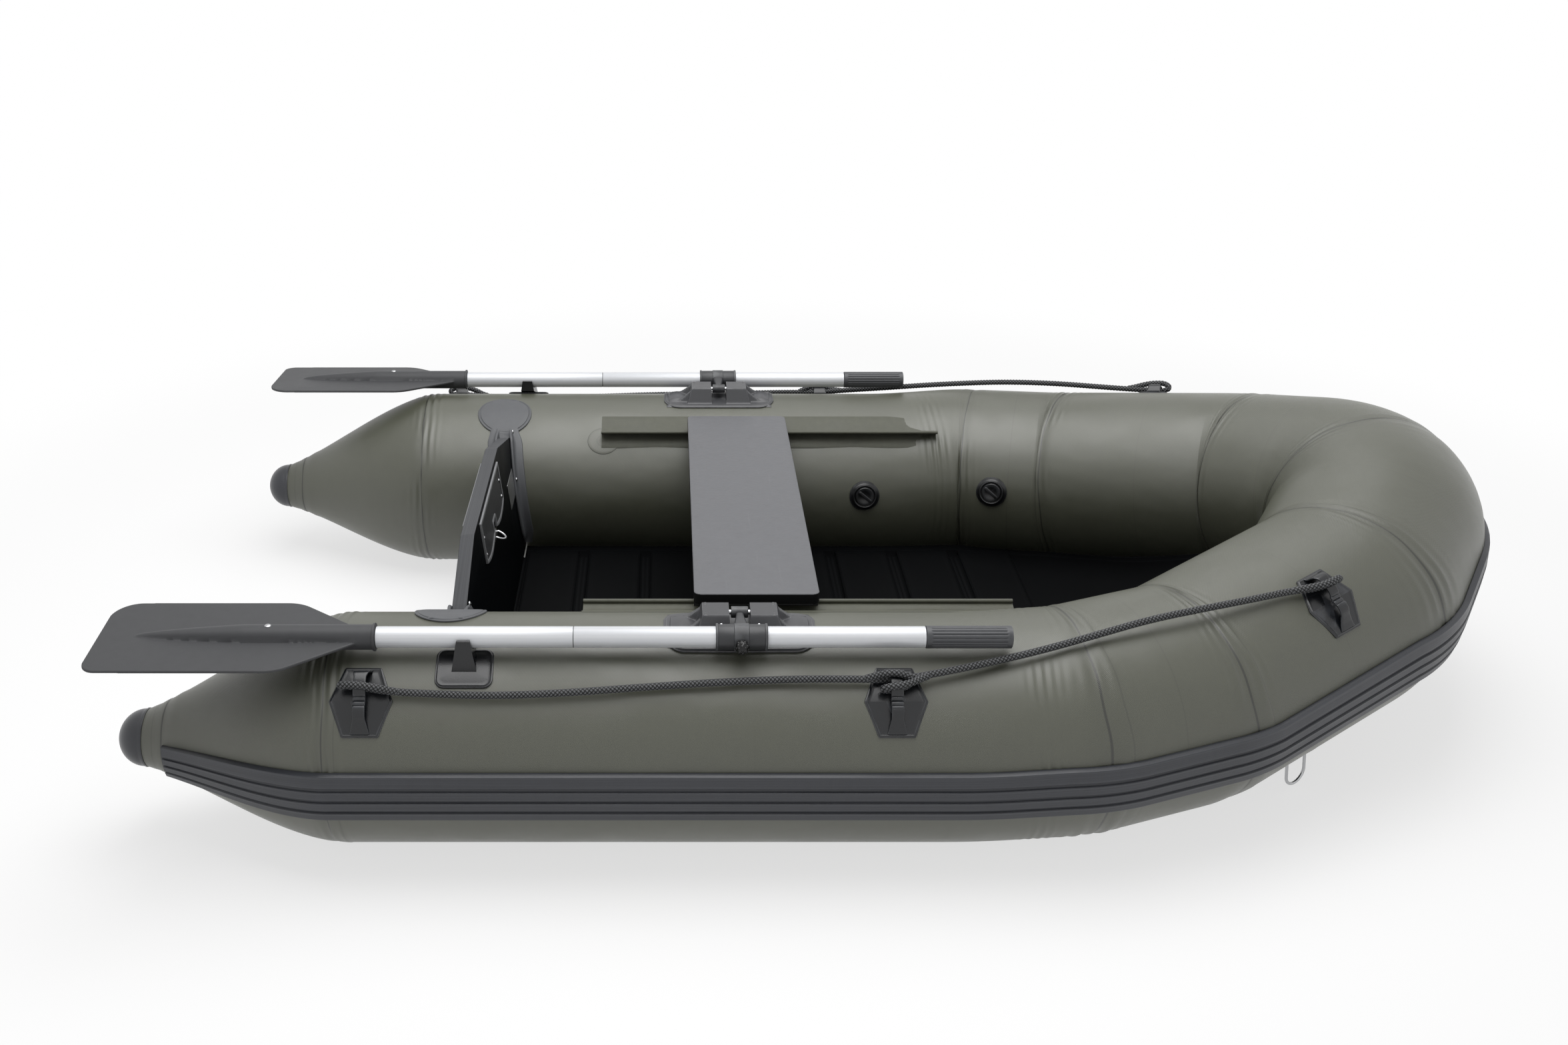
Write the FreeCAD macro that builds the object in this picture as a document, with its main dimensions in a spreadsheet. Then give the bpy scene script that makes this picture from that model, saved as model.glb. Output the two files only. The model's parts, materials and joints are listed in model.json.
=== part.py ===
# An inflatable rowing dinghy with a slatted floor, a sliding thwart and two stowed oars.
# Frame: +X towards the bow, +Y to port, +Z up; the origin is on the ground, amidships.
# Each starboard piece is modelled once and mirrored to port.
import FreeCAD, Part
import Sketcher
import math
import os
import re

Vector = FreeCAD.Vector
Rotation = FreeCAD.Rotation
Placement = FreeCAD.Placement

doc = FreeCAD.newDocument("dinghy")
sheet = doc.addObject("Spreadsheet::Sheet", "Sizes")

# Driving dimensions, in millimetres and degrees.
SIZES = {
    # buoyancy tubes: the centre line runs through these stations
    "tube_radius": 180, "half_beam": 510, "stern_x": -807, "sheer_back": 154,
    "quarter_x": 329, "quarter_rise": 11,
    "shoulder_run": 195, "shoulder_share": 0.8824, "shoulder_rise": 24,
    "cheek_run": 325, "cheek_share": 0.5078, "cheek_rise": 91,
    "stem_run": 177, "stem_rise": 168,
    # radii of the bends, those at the bow measured on the tube's inner wall
    "sheer_bend": 1200, "quarter_bend": 120, "shoulder_bend": 120, "cheek_bend": 170, "stem_bend": 40,
    "chamber_back": 64, "seat_gap": 0.3,
    # stern cones and their rubber ends
    "cone_length": 311, "cone_end_radius": 45, "cone_end_drop": 21, "cone_shoulder": 40, "cone_fullness": 8,
    "cap_sleeve": 2,
    # rub strake
    "strake_top": 9.5, "strake_bottom": -16, "strake_base": 5, "strake_rib": 4.5, "strake_ribs": 3,
    "strake_band": 7.5, "strake_groove": 1.2, "strake_tail": 272, "strake_tail_half": 27,
    # bottom and slats
    "floor_height": 80, "floor_thick": 2.5, "floor_level_run": 91, "floor_mid_run": 251, "floor_mid_rise": 22,
    "floor_fore_run": 416, "floor_fore_rise": 80, "floor_end_run": 571, "floor_end_rise": 165,
    "slat_thick": 9, "slat_width": 105, "slat_pitch": 128, "slat_end_gap": 8, "slat_start_gap": 8,
    # transom
    "transom_x": -621, "transom_foot_gap": 4, "transom_lean": 6.5, "transom_thick": 25,
    "transom_rise": 35, "transom_corner_drop": 50, "transom_shoulder_drop": 38, "transom_crown": 200,
    "transom_side_inset": 138, "transom_bury": 102,
    "holder_width": 96, "holder_skin": 3.5, "holder_rail": 20, "holder_rail_wall": 6, "holder_foot_gap": 12,
    "holder_patch_radius": 56, "holder_patch_offset": 75,
    "plate_width": 290, "inner_plate_height": 78, "outer_plate_height": 66, "plate_thick": 4,
    "plate_rise": 8, "plate_frame": 7, "plate_sunk": 1.8, "plate_scallop": 12, "plate_notch": 30,
    "plate_notch_rise": 20,
    # thwart and its rails
    "thwart_x": -156, "thwart_width": 201, "thwart_inset": 105, "thwart_thick": 20, "thwart_sink": 20,
    "thwart_round": 14, "rail_inset": 27, "rail_width": 15, "rail_height": 13, "rail_slot": 4.5,
    "bolt_rope_radius": 3.5, "bolt_rope_clear": 0.3, "web_thick": 2.4,
    "flap_aft": 279, "flap_fore_back": 70, "flap_skin": 1.6, "flap_width": 66,
    # rowlocks
    "rowlock_x": -189, "pin_rise": 22.5, "pin_radius": 4, "pin_fit": 0.05,
    "base_length": 232, "base_inboard": 45, "base_outboard": 66.5, "base_round": 34, "base_skin": 4,
    "base_rim": 5, "base_rim_skin": 2.2,
    "hump_gap": 32, "hump_flat": 41, "hump_foot": 50, "hump_rise": 31, "hump_inboard": 18,
    "hump_outboard": 24, "hump_foot_inboard": 34, "hump_foot_outboard": 40,
    "gusset_reach": 84, "gusset_sag": 9, "gusset_thick": 7, "gusset_splay": 9,
    "pin_length": 96,
    # oars
    "oar_offset": 71, "oar_rise": 18, "oar_radius": 16, "oar_fore": 273,
    "grip_length": 128, "grip_radius": 17.2, "grip_flutes": 18, "flute_radius": 1.4, "flute_end": 7,
    "oar_aft": 542, "socket_radius": 19, "socket_length": 34, "socket_flange": 2.4, "flange_thick": 4,
    "blade_length": 412, "blade_shoulder": 130, "blade_half": 95, "blade_thick": 5, "blade_corner": 22,
    "blade_far_corner": 42, "blade_shoulder_bend": 60, "blade_lap": 10, "spine_short": 56,
    "spine_growth": 160, "spine_tip_radius": 2.6, "collar_length": 77, "collar_radius": 19.3,
    "collar_band": 21, "collar_band_rise": 1.2, "collar_lip": 4, "eye_radius": 9, "eye_width": 26,
    "neck_radius": 12, "neck_tip_radius": 7, "knob_radius": 11, "knob_stem": 5, "knob_stand": 10,
    # oar clips
    "clip_back": 411, "clip_clear": 1.5, "clip_wall": 4.5, "clip_width": 20, "clip_arm": 4,
    "clip_foot_width": 40, "clip_patch_length": 86, "clip_patch_half": 33, "clip_patch_round": 14,
    "clip_patch_angle": 60, "prong_foot": 38, "prong_low": 52,
    "prong_foot_thick": 11, "prong_tip_thick": 4.5,
    # lifeline and its patches
    "rope_radius": 5.75, "patch_angle": 43, "patch_half_width": 47, "patch_half_height": 52.5,
    "patch_edge": 27, "patch_skin": 4, "patch_rim": 3.5, "patch_rim_skin": 2.2,
    "stern_patch_along": 58, "mid_patch_back": 138, "bow_patch_along": 201, "bow_patch_angle": 50,
    "strap_width": 18.5, "strap_foot_width": 30, "strap_thick": 4,
    # valves and towing rings
    "valve_back": 66, "valve_angle": 170, "fore_valve_along": 96, "valve_flange": 31,
    "valve_flange_skin": 3.5, "valve_boss": 24, "valve_boss_rise": 8, "valve_cap": 19, "valve_cap_rise": 10,
    "valve_bar_length": 34, "valve_bar_width": 7, "valve_bar_rise": 15, "valve_bar_turn": 40,
    "ring_along": 170, "ring_angle": -60, "ring_patch_radius": 44, "ring_patch_skin": 2.5,
    "ring_wire": 2.6, "ring_width": 42, "ring_drop": 34, "ring_bar": 9, "loop_wall": 2.4, "loop_root": 4,
    "loop_fit": 0.3,
}
for row, (name, value) in enumerate(SIZES.items(), start=1):
    sheet.set("A%d" % row, name)
    sheet.set("B%d" % row, str(value))
    sheet.setAlias("B%d" % row, name)
doc.recompute()

subparts = []


def size(name):
    """A driving dimension, read from the sheet."""
    return float(sheet.get(name))


def bound(text):
    """Write an expression on the sheet's aliases."""
    return re.sub(r"[a-z_]{3,}", lambda word: "Sizes." + word.group(), text)


def add(kind, name, place=None, **values):
    """Add an object; values given as text are bound to the sheet."""
    made = doc.addObject(kind, name)
    for key, value in values.items():
        if isinstance(value, str):
            made.setExpression(key, bound(value))
        else:
            setattr(made, key, value)
    if place is not None:
        made.Placement = place
    return made


def keep(made, label):
    """Mark an object as one of the dinghy's own pieces."""
    made.Label = label
    subparts.append(made)
    return made


def feature(name, shape):
    """A shape worked out in code, such as a wire that a sweep follows."""
    made = doc.addObject("Part::Feature", name)
    made.Shape = shape
    return made


def fuse(name, *shapes):
    return add("Part::MultiFuse", name, Shapes=list(shapes))


def common(name, *shapes):
    return add("Part::MultiCommon", name, Shapes=list(shapes))


def cut(name, base, tool):
    return add("Part::Cut", name, Base=base, Tool=tool)


def extrude(name, face, direction, length):
    """Carry a flat face along a direction."""
    made = add("Part::Extrusion", name, Base=face, Dir=direction, LengthFwd=length)
    made.DirMode = "Custom"
    return made


def keep_pair(made, label):
    """Keep a starboard piece and its mirror image to port."""
    keep(made, label + "_starboard")
    twin = add("Part::Mirroring", label + "_port", Source=made, Normal=Vector(0, 1, 0), Base=Vector(0, 0, 0))
    keep(twin, label + "_port")


def at(x, y, z, rotation=None):
    return Placement(Vector(x, y, z), rotation or Rotation())


ALONG_X = Rotation(Vector(0, 1, 0), 90)


def rod(name, radius, length, x, y, z):
    """A round bar along X that starts at x."""
    return add("Part::Cylinder", name, at(x, y, z, ALONG_X), Radius=radius, Height=length)


def slab(name, length, width, height, x, y, z):
    """A box with its low corner at the given place."""
    return add("Part::Box", name, at(x, y, z), Length=length, Width=width, Height=height)


def rounded_path(points, radii):
    """Straight runs joined by tangent arcs, one radius for each inner point."""
    edges = []
    start = points[0]
    for before, corner, after, radius in zip(points, points[1:], points[2:], radii):
        arrive = (corner - before).normalize()
        leave = (after - corner).normalize()
        half = arrive.getAngle(leave) / 2
        reach = radius * math.tan(half)
        into = corner - arrive * reach
        out = corner + leave * reach
        middle = corner + (leave - arrive).normalize() * (radius / math.cos(half) - radius)
        edges.append(Part.LineSegment(start, into).toShape())
        edges.append(Part.Arc(into, middle, out).toShape())
        start = out
    edges.append(Part.LineSegment(start, points[-1]).toShape())
    return Part.Wire(edges)


# Buoyancy tubes. The centre line is straight from the stern, rises gently from the sheer
# station, and turns in at the quarter, shoulder, cheek and stem.
radius = size("tube_radius")
beam = size("half_beam")
crown = 2 * radius
stern = Vector(size("stern_x"), -beam, radius)
quarter = Vector(size("quarter_x"), -beam, radius + size("quarter_rise"))
sheer = Vector(quarter.x - size("sheer_back"), -beam, radius)
shoulder = Vector(quarter.x + size("shoulder_run"), -beam * size("shoulder_share"), radius + size("shoulder_rise"))
cheek = Vector(shoulder.x + size("cheek_run"), -beam * size("cheek_share"), radius + size("cheek_rise"))
stem = Vector(cheek.x + size("stem_run"), 0, radius + size("stem_rise"))
chamber_end = quarter + (sheer - quarter) * (size("chamber_back") / size("sheer_back"))


def port(point):
    return Vector(point.x, -point.y, point.z)


side_path = rounded_path([stern, sheer, chamber_end], [size("sheer_bend")])
bow_corners = [quarter, shoulder, cheek, stem, port(cheek), port(shoulder), port(quarter)]
bow_bends = [radius + size(corner + "_bend") for corner in ("quarter", "shoulder", "cheek", "stem")]
bow_path = rounded_path([chamber_end] + bow_corners + [port(chamber_end)], bow_bends + bow_bends[-2::-1])
whole_path = rounded_path([stern, sheer] + bow_corners + [port(sheer), port(stern)],
                          [size("sheer_bend")] + bow_bends + bow_bends[-2::-1] + [size("sheer_bend")])


def sweep(name, path, start_place, section_radius):
    """A round tube along a path; the section's radius is bound to the sheet."""
    spine = feature(name + "_path", path)
    section = add("Part::Circle", name + "_section", start_place, Radius=section_radius)
    edges = ["Edge%d" % number for number in range(1, len(path.Edges) + 1)]
    return add("Part::Sweep", name, Sections=[section], Spine=(spine, edges), Solid=True, Frenet=False)


def facing(point, direction):
    """A place whose Z axis points along a direction."""
    return Placement(point, Rotation(Vector(0, 0, 1), direction))


rise = (quarter - sheer).normalize()
keep_pair(sweep("side_tube", side_path, facing(stern, Vector(1, 0, 0)), "tube_radius"), "tube")
keep(sweep("bow_tube", bow_path, facing(chamber_end, rise), "tube_radius"), "tube_bow")
tube_clearance = sweep("tube_clearance", whole_path, facing(stern, Vector(1, 0, 0)), "tube_radius + seat_gap")

# Stern cones, a little full at the shoulder, and the rubber caps on their ends.
cone_length = size("cone_length")
cone_stations = [0, size("cone_shoulder"), cone_length / 2, cone_length]
cone_swell = [0, size("cone_fullness"), size("cone_fullness"), 0]
cone_end = stern + Vector(-cone_length, 0, -size("cone_end_drop"))


def cone_taper(run):
    """The cone's centre and its plain tapered radius at a distance aft of the tube's end."""
    share = run / cone_length
    return stern + (cone_end - stern) * share, radius + (size("cone_end_radius") - radius) * share


def cone_loft(name, extra):
    """The cone's solid, with its radius enlarged by a clearance."""
    rings = []
    for number, (run, swell) in enumerate(zip(cone_stations, cone_swell)):
        centre, ring_radius = cone_taper(run)
        place = Placement(centre, ALONG_X)
        rings.append(add("Part::Circle", "%s_ring_%d" % (name, number), place, Radius=ring_radius + swell + extra))
    return add("Part::Loft", name, Sections=rings, Solid=True, Ruled=False)


keep_pair(cone_loft("stern_cone", 0), "cone")
cone_clearance = cone_loft("cone_clearance", size("seat_gap"))

cap_sleeve = rod("cap_sleeve_bar", "cone_end_radius", "cap_sleeve", cone_end.x - size("cap_sleeve"), -beam, cone_end.z)
cap_dome = add("Part::Sphere", "cap_dome", at(cone_end.x - size("cap_sleeve"), -beam, cone_end.z,
               Rotation(Vector(0, 1, 0), -90)), Radius="cone_end_radius", Angle1=0, Angle2=90)
keep_pair(fuse("rubber_cap", cap_sleeve, cap_dome), "end_cap")


# Rub strake: one moulded band with a flat top strip and ribs below it, bonded round the tubes.
def strake_angles():
    """Where the raised bands begin and end, from the top edge down, in degrees."""
    top = size("strake_top")
    bottom = size("strake_bottom")
    groove = size("strake_groove")
    bands = [(top, top - size("strake_band"))]
    ribs = int(size("strake_ribs"))
    rib = (bands[0][1] - bottom - groove * ribs) / ribs
    for _ in range(ribs):
        start = bands[-1][1] - groove
        bands.append((start, start - rib))
    return bands


def strake_face(centre, outward, upward, inner, scale):
    """The strake's section on a tube of the given inner radius; scale spreads its angles."""
    def point(angle, distance):
        turn = math.radians(angle * scale)
        return centre + outward * (distance * math.cos(turn)) + upward * (distance * math.sin(turn))

    low = inner + size("strake_base")
    high = low + size("strake_rib")
    outer = []
    for top, bottom in strake_angles():
        outer += [point(top, low), point(top, high), point(bottom, high), point(bottom, low)]
    back = [point(angle, inner) for angle in (size("strake_bottom"), (size("strake_top")
            + size("strake_bottom")) / 2, size("strake_top"))]
    edges = [Part.LineSegment(a, b).toShape() for a, b in zip(outer, outer[1:])]
    edges.append(Part.LineSegment(outer[-1], back[0]).toShape())
    edges.append(Part.Arc(back[0], back[1], back[2]).toShape())
    edges.append(Part.LineSegment(back[2], outer[0]).toShape())
    return Part.Wire(edges)


UP = Vector(0, 0, 1)
OUTBOARD = Vector(0, -1, 0)
strake_inner = radius + size("seat_gap")
side_section = strake_face(stern, OUTBOARD, UP, strake_inner, 1)
side_strake = side_path.makePipeShell([side_section], True, False)
tail_sections = [side_section]
for run, swell in list(zip(cone_stations, cone_swell))[1:-1] + [(size("strake_tail"), 0)]:
    tail_centre, tail_radius = cone_taper(run)
    tail_share = run / size("strake_tail")
    tail_inner = tail_radius + swell + size("seat_gap")
    full_height = strake_inner * math.radians(size("strake_top") - size("strake_bottom"))
    height = full_height + (2 * size("strake_tail_half") - full_height) * tail_share
    spread = height / full_height * strake_inner / tail_inner
    tail_sections.append(strake_face(tail_centre, OUTBOARD, UP, tail_inner, spread))
tail_strake = Part.makeLoft(tail_sections, True, False)
side_blank = feature("side_strake_blank", side_strake.fuse(tail_strake))
keep_pair(cut("side_strake", side_blank, cone_clearance), "strake")

bow_outward = rise.cross(UP).normalize()
bow_section = strake_face(chamber_end, bow_outward, bow_outward.cross(rise).normalize(), strake_inner, 1)
bow_guide = whole_path.translated(UP * crown)
bow_sweep = Part.BRepOffsetAPI.MakePipeShell(bow_path)
bow_sweep.setAuxiliarySpine(bow_guide, False, 0)
bow_sweep.add(bow_section)
bow_sweep.build()
bow_sweep.makeSolid()
keep(feature("bow_strake", bow_sweep.shape()), "strake_bow")

# Bottom: one coated fabric sheet between the tubes, level aft and rising under the bow.
floor_low = size("floor_height")
floor_aft = size("transom_x") + size("transom_thick")
floor_level = quarter.x + size("floor_level_run")
floor_line = [(floor_aft, 0), (floor_level, 0)] + [(quarter.x + size("floor_%s_run" % place),
              size("floor_%s_rise" % place)) for place in ("mid", "fore", "end")]
under = [Vector(x, -beam, floor_low + lift) for x, lift in floor_line]
over = [point + Vector(0, 0, size("floor_thick")) for point in reversed(under)]
floor_side = feature("floor_side", Part.Face(Part.makePolygon(under + over + [under[0]])))
floor_sheet = extrude("floor_sheet", floor_side, Vector(0, 1, 0), "2 * half_beam")
floor_trim = cut("floor_trim", floor_sheet, tube_clearance)
doc.recompute()
floor_panel = min(floor_trim.Shape.Solids, key=lambda part: abs(part.CenterOfMass.y))
keep(feature("floor_panel", floor_panel), "floor_fabric")

slats = []
slat_x = floor_aft + size("slat_start_gap")
slat_reach = beam - radius - size("slat_end_gap")
while slat_x + size("slat_width") < floor_level:
    board = slab("slat_%d" % len(slats), "slat_width", 2 * slat_reach, "slat_thick",
                 slat_x, -slat_reach, floor_low + size("floor_thick"))
    slats.append(board)
    slat_x += size("slat_pitch")
keep(add("Part::Compound", "slat_set", Links=slats), "floor_slats")

# Transom: a board with a raised crown, leaning aft, let in between the tubes.
lean = Rotation(Vector(0, 1, 0), -size("transom_lean"))
foot = floor_low + size("transom_foot_gap")
transom_place = at(size("transom_x"), 0, foot, lean)
stretch = 1 / math.cos(math.radians(size("transom_lean")))
buried = beam - size("transom_bury")
outline = [(-buried, 0), (-buried, crown - size("transom_corner_drop") - foot),
           (size("transom_side_inset") - beam, crown - size("transom_shoulder_drop") - foot),
           (-size("transom_crown"), crown + size("transom_rise") - foot)]
outline += [(-y, z) for y, z in reversed(outline)]
outline = [Vector(0, y, z * stretch) for y, z in outline]
transom_face = feature("transom_face", Part.Face(Part.makePolygon(outline + [outline[0]])))
transom_face.Placement = transom_place
transom_blank = extrude("transom_blank", transom_face, lean.multVec(Vector(1, 0, 0)), "transom_thick")
tube_length = sheer.x - stern.x
board_seats = [rod("board_seat_%d" % number, "tube_radius + holder_skin + seat_gap", tube_length, stern.x, y, radius)
               for number, y in enumerate((-beam, beam))]
transom_trim = cut("transom_trim", transom_blank, fuse("board_seat_pair", *board_seats))
keep(transom_trim, "transom_board")


def leaning_slab(name, thick, offset, width, low, tall, y):
    """A slab parallel to the transom, its aft face at an offset from the board's aft face."""
    base = transom_place.multVec(Vector(offset, y, low))
    return add("Part::Box", name, Placement(base, lean), Length=thick, Width=width, Height=tall)


def sleeve(name, skin, x, length, clearance="seat_gap"):
    """A skin round the side tube's level stretch."""
    outer = rod(name + "_outer", "tube_radius + " + skin, length, x, -beam, radius)
    inner = rod(name + "_inner", "tube_radius + " + clearance, length, x, -beam, radius)
    return cut(name, outer, inner)


reach_x = size("transom_x") - 2 * size("holder_width")
reach = 4 * size("holder_width")
holder_zone = slab("holder_zone", reach, beam, beam, reach_x, -beam + size("holder_patch_offset"),
                   foot + size("holder_foot_gap"))
holder_half = (size("holder_width") - size("transom_thick")) / 2
holder_band = leaning_slab("holder_band", "holder_width", -holder_half, 2 * beam, -beam, 2 * beam, -1.5 * beam)
rail_half = size("holder_rail_wall") + size("seat_gap")
holder_ridge = leaning_slab("holder_ridge", "transom_thick + 2 * holder_rail_wall + 2 * seat_gap",
                            -rail_half, 2 * beam, -beam, 2 * beam, -1.5 * beam)
holder_slot = leaning_slab("holder_slot", "transom_thick + 2 * seat_gap", -size("seat_gap"),
                           2 * beam, -beam, 2 * beam, -1.5 * beam)
holder_skin = common("holder_skin_band", sleeve("holder_sleeve", "holder_skin", reach_x, reach),
                     holder_zone, holder_band)
holder_ribs = common("holder_ribs", sleeve("holder_rail_sleeve", "holder_rail", reach_x, reach, "holder_skin"),
                     holder_zone, holder_ridge)
holder_rails = cut("holder_rails", holder_ribs, holder_slot)
patch_x = size("transom_x") - math.tan(math.radians(size("transom_lean"))) * (2 * radius - foot) \
    + size("transom_thick") / 2
holder_round = add("Part::Cylinder", "holder_round", at(patch_x, -beam + size("holder_patch_offset"), radius),
                   Radius="holder_patch_radius", Height="tube_radius + holder_rail")
holder_patch = common("holder_patch", sleeve("holder_patch_sleeve", "holder_skin", reach_x, reach), holder_round)
keep_pair(fuse("transom_holder_body", holder_skin, holder_rails, holder_patch), "transom_holder")

plate_width = size("plate_width")
plate_low = (crown + size("plate_rise") - foot) * stretch


def plate_outline(tall, inset, scallop):
    """A motor plate's outline on the transom: the lower edge has two scallops either side of a notch."""
    half = plate_width / 2 - inset
    top = plate_low - inset
    bottom = plate_low - tall + inset
    notch = size("plate_notch") / 2 + inset
    corners = [Vector(0, -half, bottom), Vector(0, -half, top), Vector(0, half, top), Vector(0, half, bottom)]
    edges = [Part.LineSegment(a, b).toShape() for a, b in zip(corners, corners[1:])]
    if scallop:
        roof = bottom + size("plate_notch_rise")
        steps = [corners[3], Vector(0, notch, bottom), Vector(0, notch, roof),
                 Vector(0, -notch, roof), Vector(0, -notch, bottom), corners[0]]
        for a, b in ((0, 1), (4, 5)):
            middle = (steps[a] + steps[b]) / 2 - Vector(0, 0, scallop)
            edges.append(Part.Arc(steps[a], middle, steps[b]).toShape())
        edges += [Part.LineSegment(a, b).toShape() for a, b in zip(steps[1:4], steps[2:5])]
    else:
        edges.append(Part.LineSegment(corners[3], corners[0]).toShape())
    return Part.Face(Part.Wire(Part.__sortEdges__(edges)))


out_of_board = lean.multVec(Vector(1, 0, 0))
plate_sides = (("inner", size("transom_thick") + size("seat_gap"), 1, size("plate_scallop")),
               ("outer", -size("seat_gap"), -1, 0))
for name, offset, way, scallop in plate_sides:
    tall = size(name + "_plate_height")
    solids = []
    for layer, inset, low, thick in (("blank", 0, 0, size("plate_thick")),
                                     ("hollow", size("plate_frame"), size("plate_thick") - size("plate_sunk"),
                                      size("plate_thick"))):
        face = feature("%s_plate_%s_face" % (name, layer), plate_outline(tall, inset, scallop))
        face.Placement = Placement(transom_place.multVec(Vector(offset + way * low, 0, 0)), lean)
        solids.append(extrude("%s_plate_%s" % (name, layer), face, out_of_board * way, thick))
    keep(cut("motor_plate_%s_body" % name, *solids), "motor_plate_" + name)

# Thwart: a board on two slotted rails that slide on bolt ropes along the tubes.
thwart_low = crown - size("thwart_sink")
thwart_end = beam - size("thwart_inset")
body = doc.addObject("PartDesign::Body", "thwart_body")
plane = [entry for entry in body.Origin.OriginFeatures if entry.Role == "XY_Plane"][0]
sketch = body.newObject("Sketcher::SketchObject", "thwart_outline")
sketch.AttachmentSupport = [(plane, "")]
sketch.MapMode = "FlatFace"
board_x = size("thwart_width")
board_y = 2 * thwart_end
corners = [Vector(0, 0, 0), Vector(board_x, 0, 0), Vector(board_x, board_y, 0), Vector(0, board_y, 0)]
for start, end in zip(corners, corners[1:] + corners[:1]):
    sketch.addGeometry(Part.LineSegment(start, end), False)
for first, second in ((0, 1), (1, 2), (2, 3), (3, 0)):
    sketch.addConstraint(Sketcher.Constraint("Coincident", first, 2, second, 1))
for edge, kind in ((0, "Horizontal"), (1, "Vertical"), (2, "Horizontal"), (3, "Vertical")):
    sketch.addConstraint(Sketcher.Constraint(kind, edge))
sketch.addConstraint(Sketcher.Constraint("Coincident", 0, 1, -1, 1))
across = sketch.addConstraint(Sketcher.Constraint("DistanceX", 0, 1, 0, 2, board_x))
along = sketch.addConstraint(Sketcher.Constraint("DistanceY", 1, 1, 1, 2, board_y))
sketch.setExpression("Constraints[%d]" % across, bound("thwart_width"))
sketch.setExpression("Constraints[%d]" % along, bound("2 * (half_beam - thwart_inset)"))
pad = body.newObject("PartDesign::Pad", "thwart_pad")
pad.Profile = sketch
pad.setExpression("Length", bound("thwart_thick"))
doc.recompute()
upright = ["Edge%d" % number for number, edge in enumerate(pad.Shape.Edges, start=1)
           if abs(edge.tangentAt(edge.FirstParameter).z) > 0.9]
rounding = body.newObject("PartDesign::Fillet", "thwart_rounding")
rounding.Base = (pad, upright)
rounding.setExpression("Radius", bound("thwart_round"))
body.Tip = rounding
body.Placement = at(size("thwart_x") - size("thwart_width") / 2, -thwart_end, thwart_low)
keep(body, "thwart_board")

rail_y = size("rail_inset") - thwart_end
rope_z = thwart_low - size("rail_height") / 2
thwart_aft = size("thwart_x") - size("thwart_width") / 2
rail_block = slab("rail_block", "thwart_width", "rail_width", "rail_height",
                  thwart_aft, rail_y - size("rail_width") / 2, thwart_low - size("rail_height"))
rail_bore = rod("rail_bore", "bolt_rope_radius + bolt_rope_clear", "thwart_width", thwart_aft, rail_y, rope_z)
rail_mouth = slab("rail_mouth", "thwart_width", "rail_slot", "rail_height",
                  thwart_aft, rail_y - size("rail_slot") / 2, rope_z - size("rail_height"))
keep_pair(cut("rail_channel", rail_block, fuse("rail_hollow", rail_bore, rail_mouth)), "thwart_rail")

flap_aft = size("thwart_x") - size("flap_aft")
flap_length = quarter.x - size("flap_fore_back") - flap_aft
bolt_rope = rod("bolt_rope", "bolt_rope_radius", flap_length, flap_aft, rail_y, rope_z)
web = slab("flap_web", flap_length, "web_thick", rope_z - radius, flap_aft, rail_y - size("web_thick") / 2, radius)
flap_zone = slab("flap_zone", flap_length, "flap_width", radius, flap_aft,
                 rail_y - size("flap_width") / 2, radius * 1.2)
flap_tube = sweep("flap_tube", whole_path, facing(stern, Vector(1, 0, 0)), "tube_radius + flap_skin")
flap_skin = cut("flap_skin_sheet", common("flap_skin_zone", flap_tube, flap_zone), tube_clearance)
flap_web = cut("flap_web_trim", web, tube_clearance)
keep_pair(fuse("flap_body", flap_skin, flap_web, bolt_rope), "thwart_flap")


# Fittings bonded to the tubes are modelled lying on a tube along X whose axis passes the
# origin, and are then set on their station: X stays along the tube and Z points off it.
def tube_place(foot_point, direction, angle):
    """The place of a fitting: on the tube's axis, turned up from outboard by an angle."""
    outward = direction.cross(UP).normalize()
    upward = outward.cross(direction).normalize()
    turn = math.radians(angle)
    normal = outward * math.cos(turn) + upward * math.sin(turn)
    return Placement(foot_point, Rotation(direction, normal.cross(direction), normal, "XZY"))


def station_on(first, second, along):
    """A point on the straight run between two corners and the run's direction."""
    direction = (second - first).normalize()
    return first + direction * along, direction


def skin(name, thick, length):
    """A skin on the fitting's own tube, as long as given and centred."""
    outer = rod(name + "_outer", "tube_radius + " + thick, length, -length / 2, 0, 0)
    inner = rod(name + "_inner", "tube_radius + seat_gap", length, -length / 2, 0, 0)
    return cut(name, outer, inner)


def prism(name, points, low, tall):
    """An upright prism over a plan outline."""
    face = feature(name + "_plan", Part.Face(Part.makePolygon([Vector(x, y, low) for x, y in points + points[:1]])))
    return extrude(name, face, Vector(0, 0, 1), tall)


def plan_box(name, length, width, low, tall, turn=0):
    """A box centred on the fitting, seen from above, and turned about the fitting's own axis."""
    turned = Rotation(Vector(0, 0, 1), turn)
    corner = turned.multVec(Vector(-size(length) / 2, -size(width) / 2, low))
    return add("Part::Box", name, Placement(corner, turned), Length=length, Width=width, Height=tall)


def rounded_plan(name, length, inboard, outboard, corner, inset):
    """An upright block seen from above as a rectangle with rounded corners, inset from its full size."""
    half = size(length) / 2 - inset
    block = Part.makeBox(2 * half, size(inboard) + size(outboard) - 2 * inset, 3 * radius,
                         Vector(-half, inset - size(outboard), 0))
    upright = [edge for edge in block.Edges if abs(edge.tangentAt(edge.FirstParameter).z) > 0.9]
    return feature(name, block.makeFillet(size(corner) - inset, upright))


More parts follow.
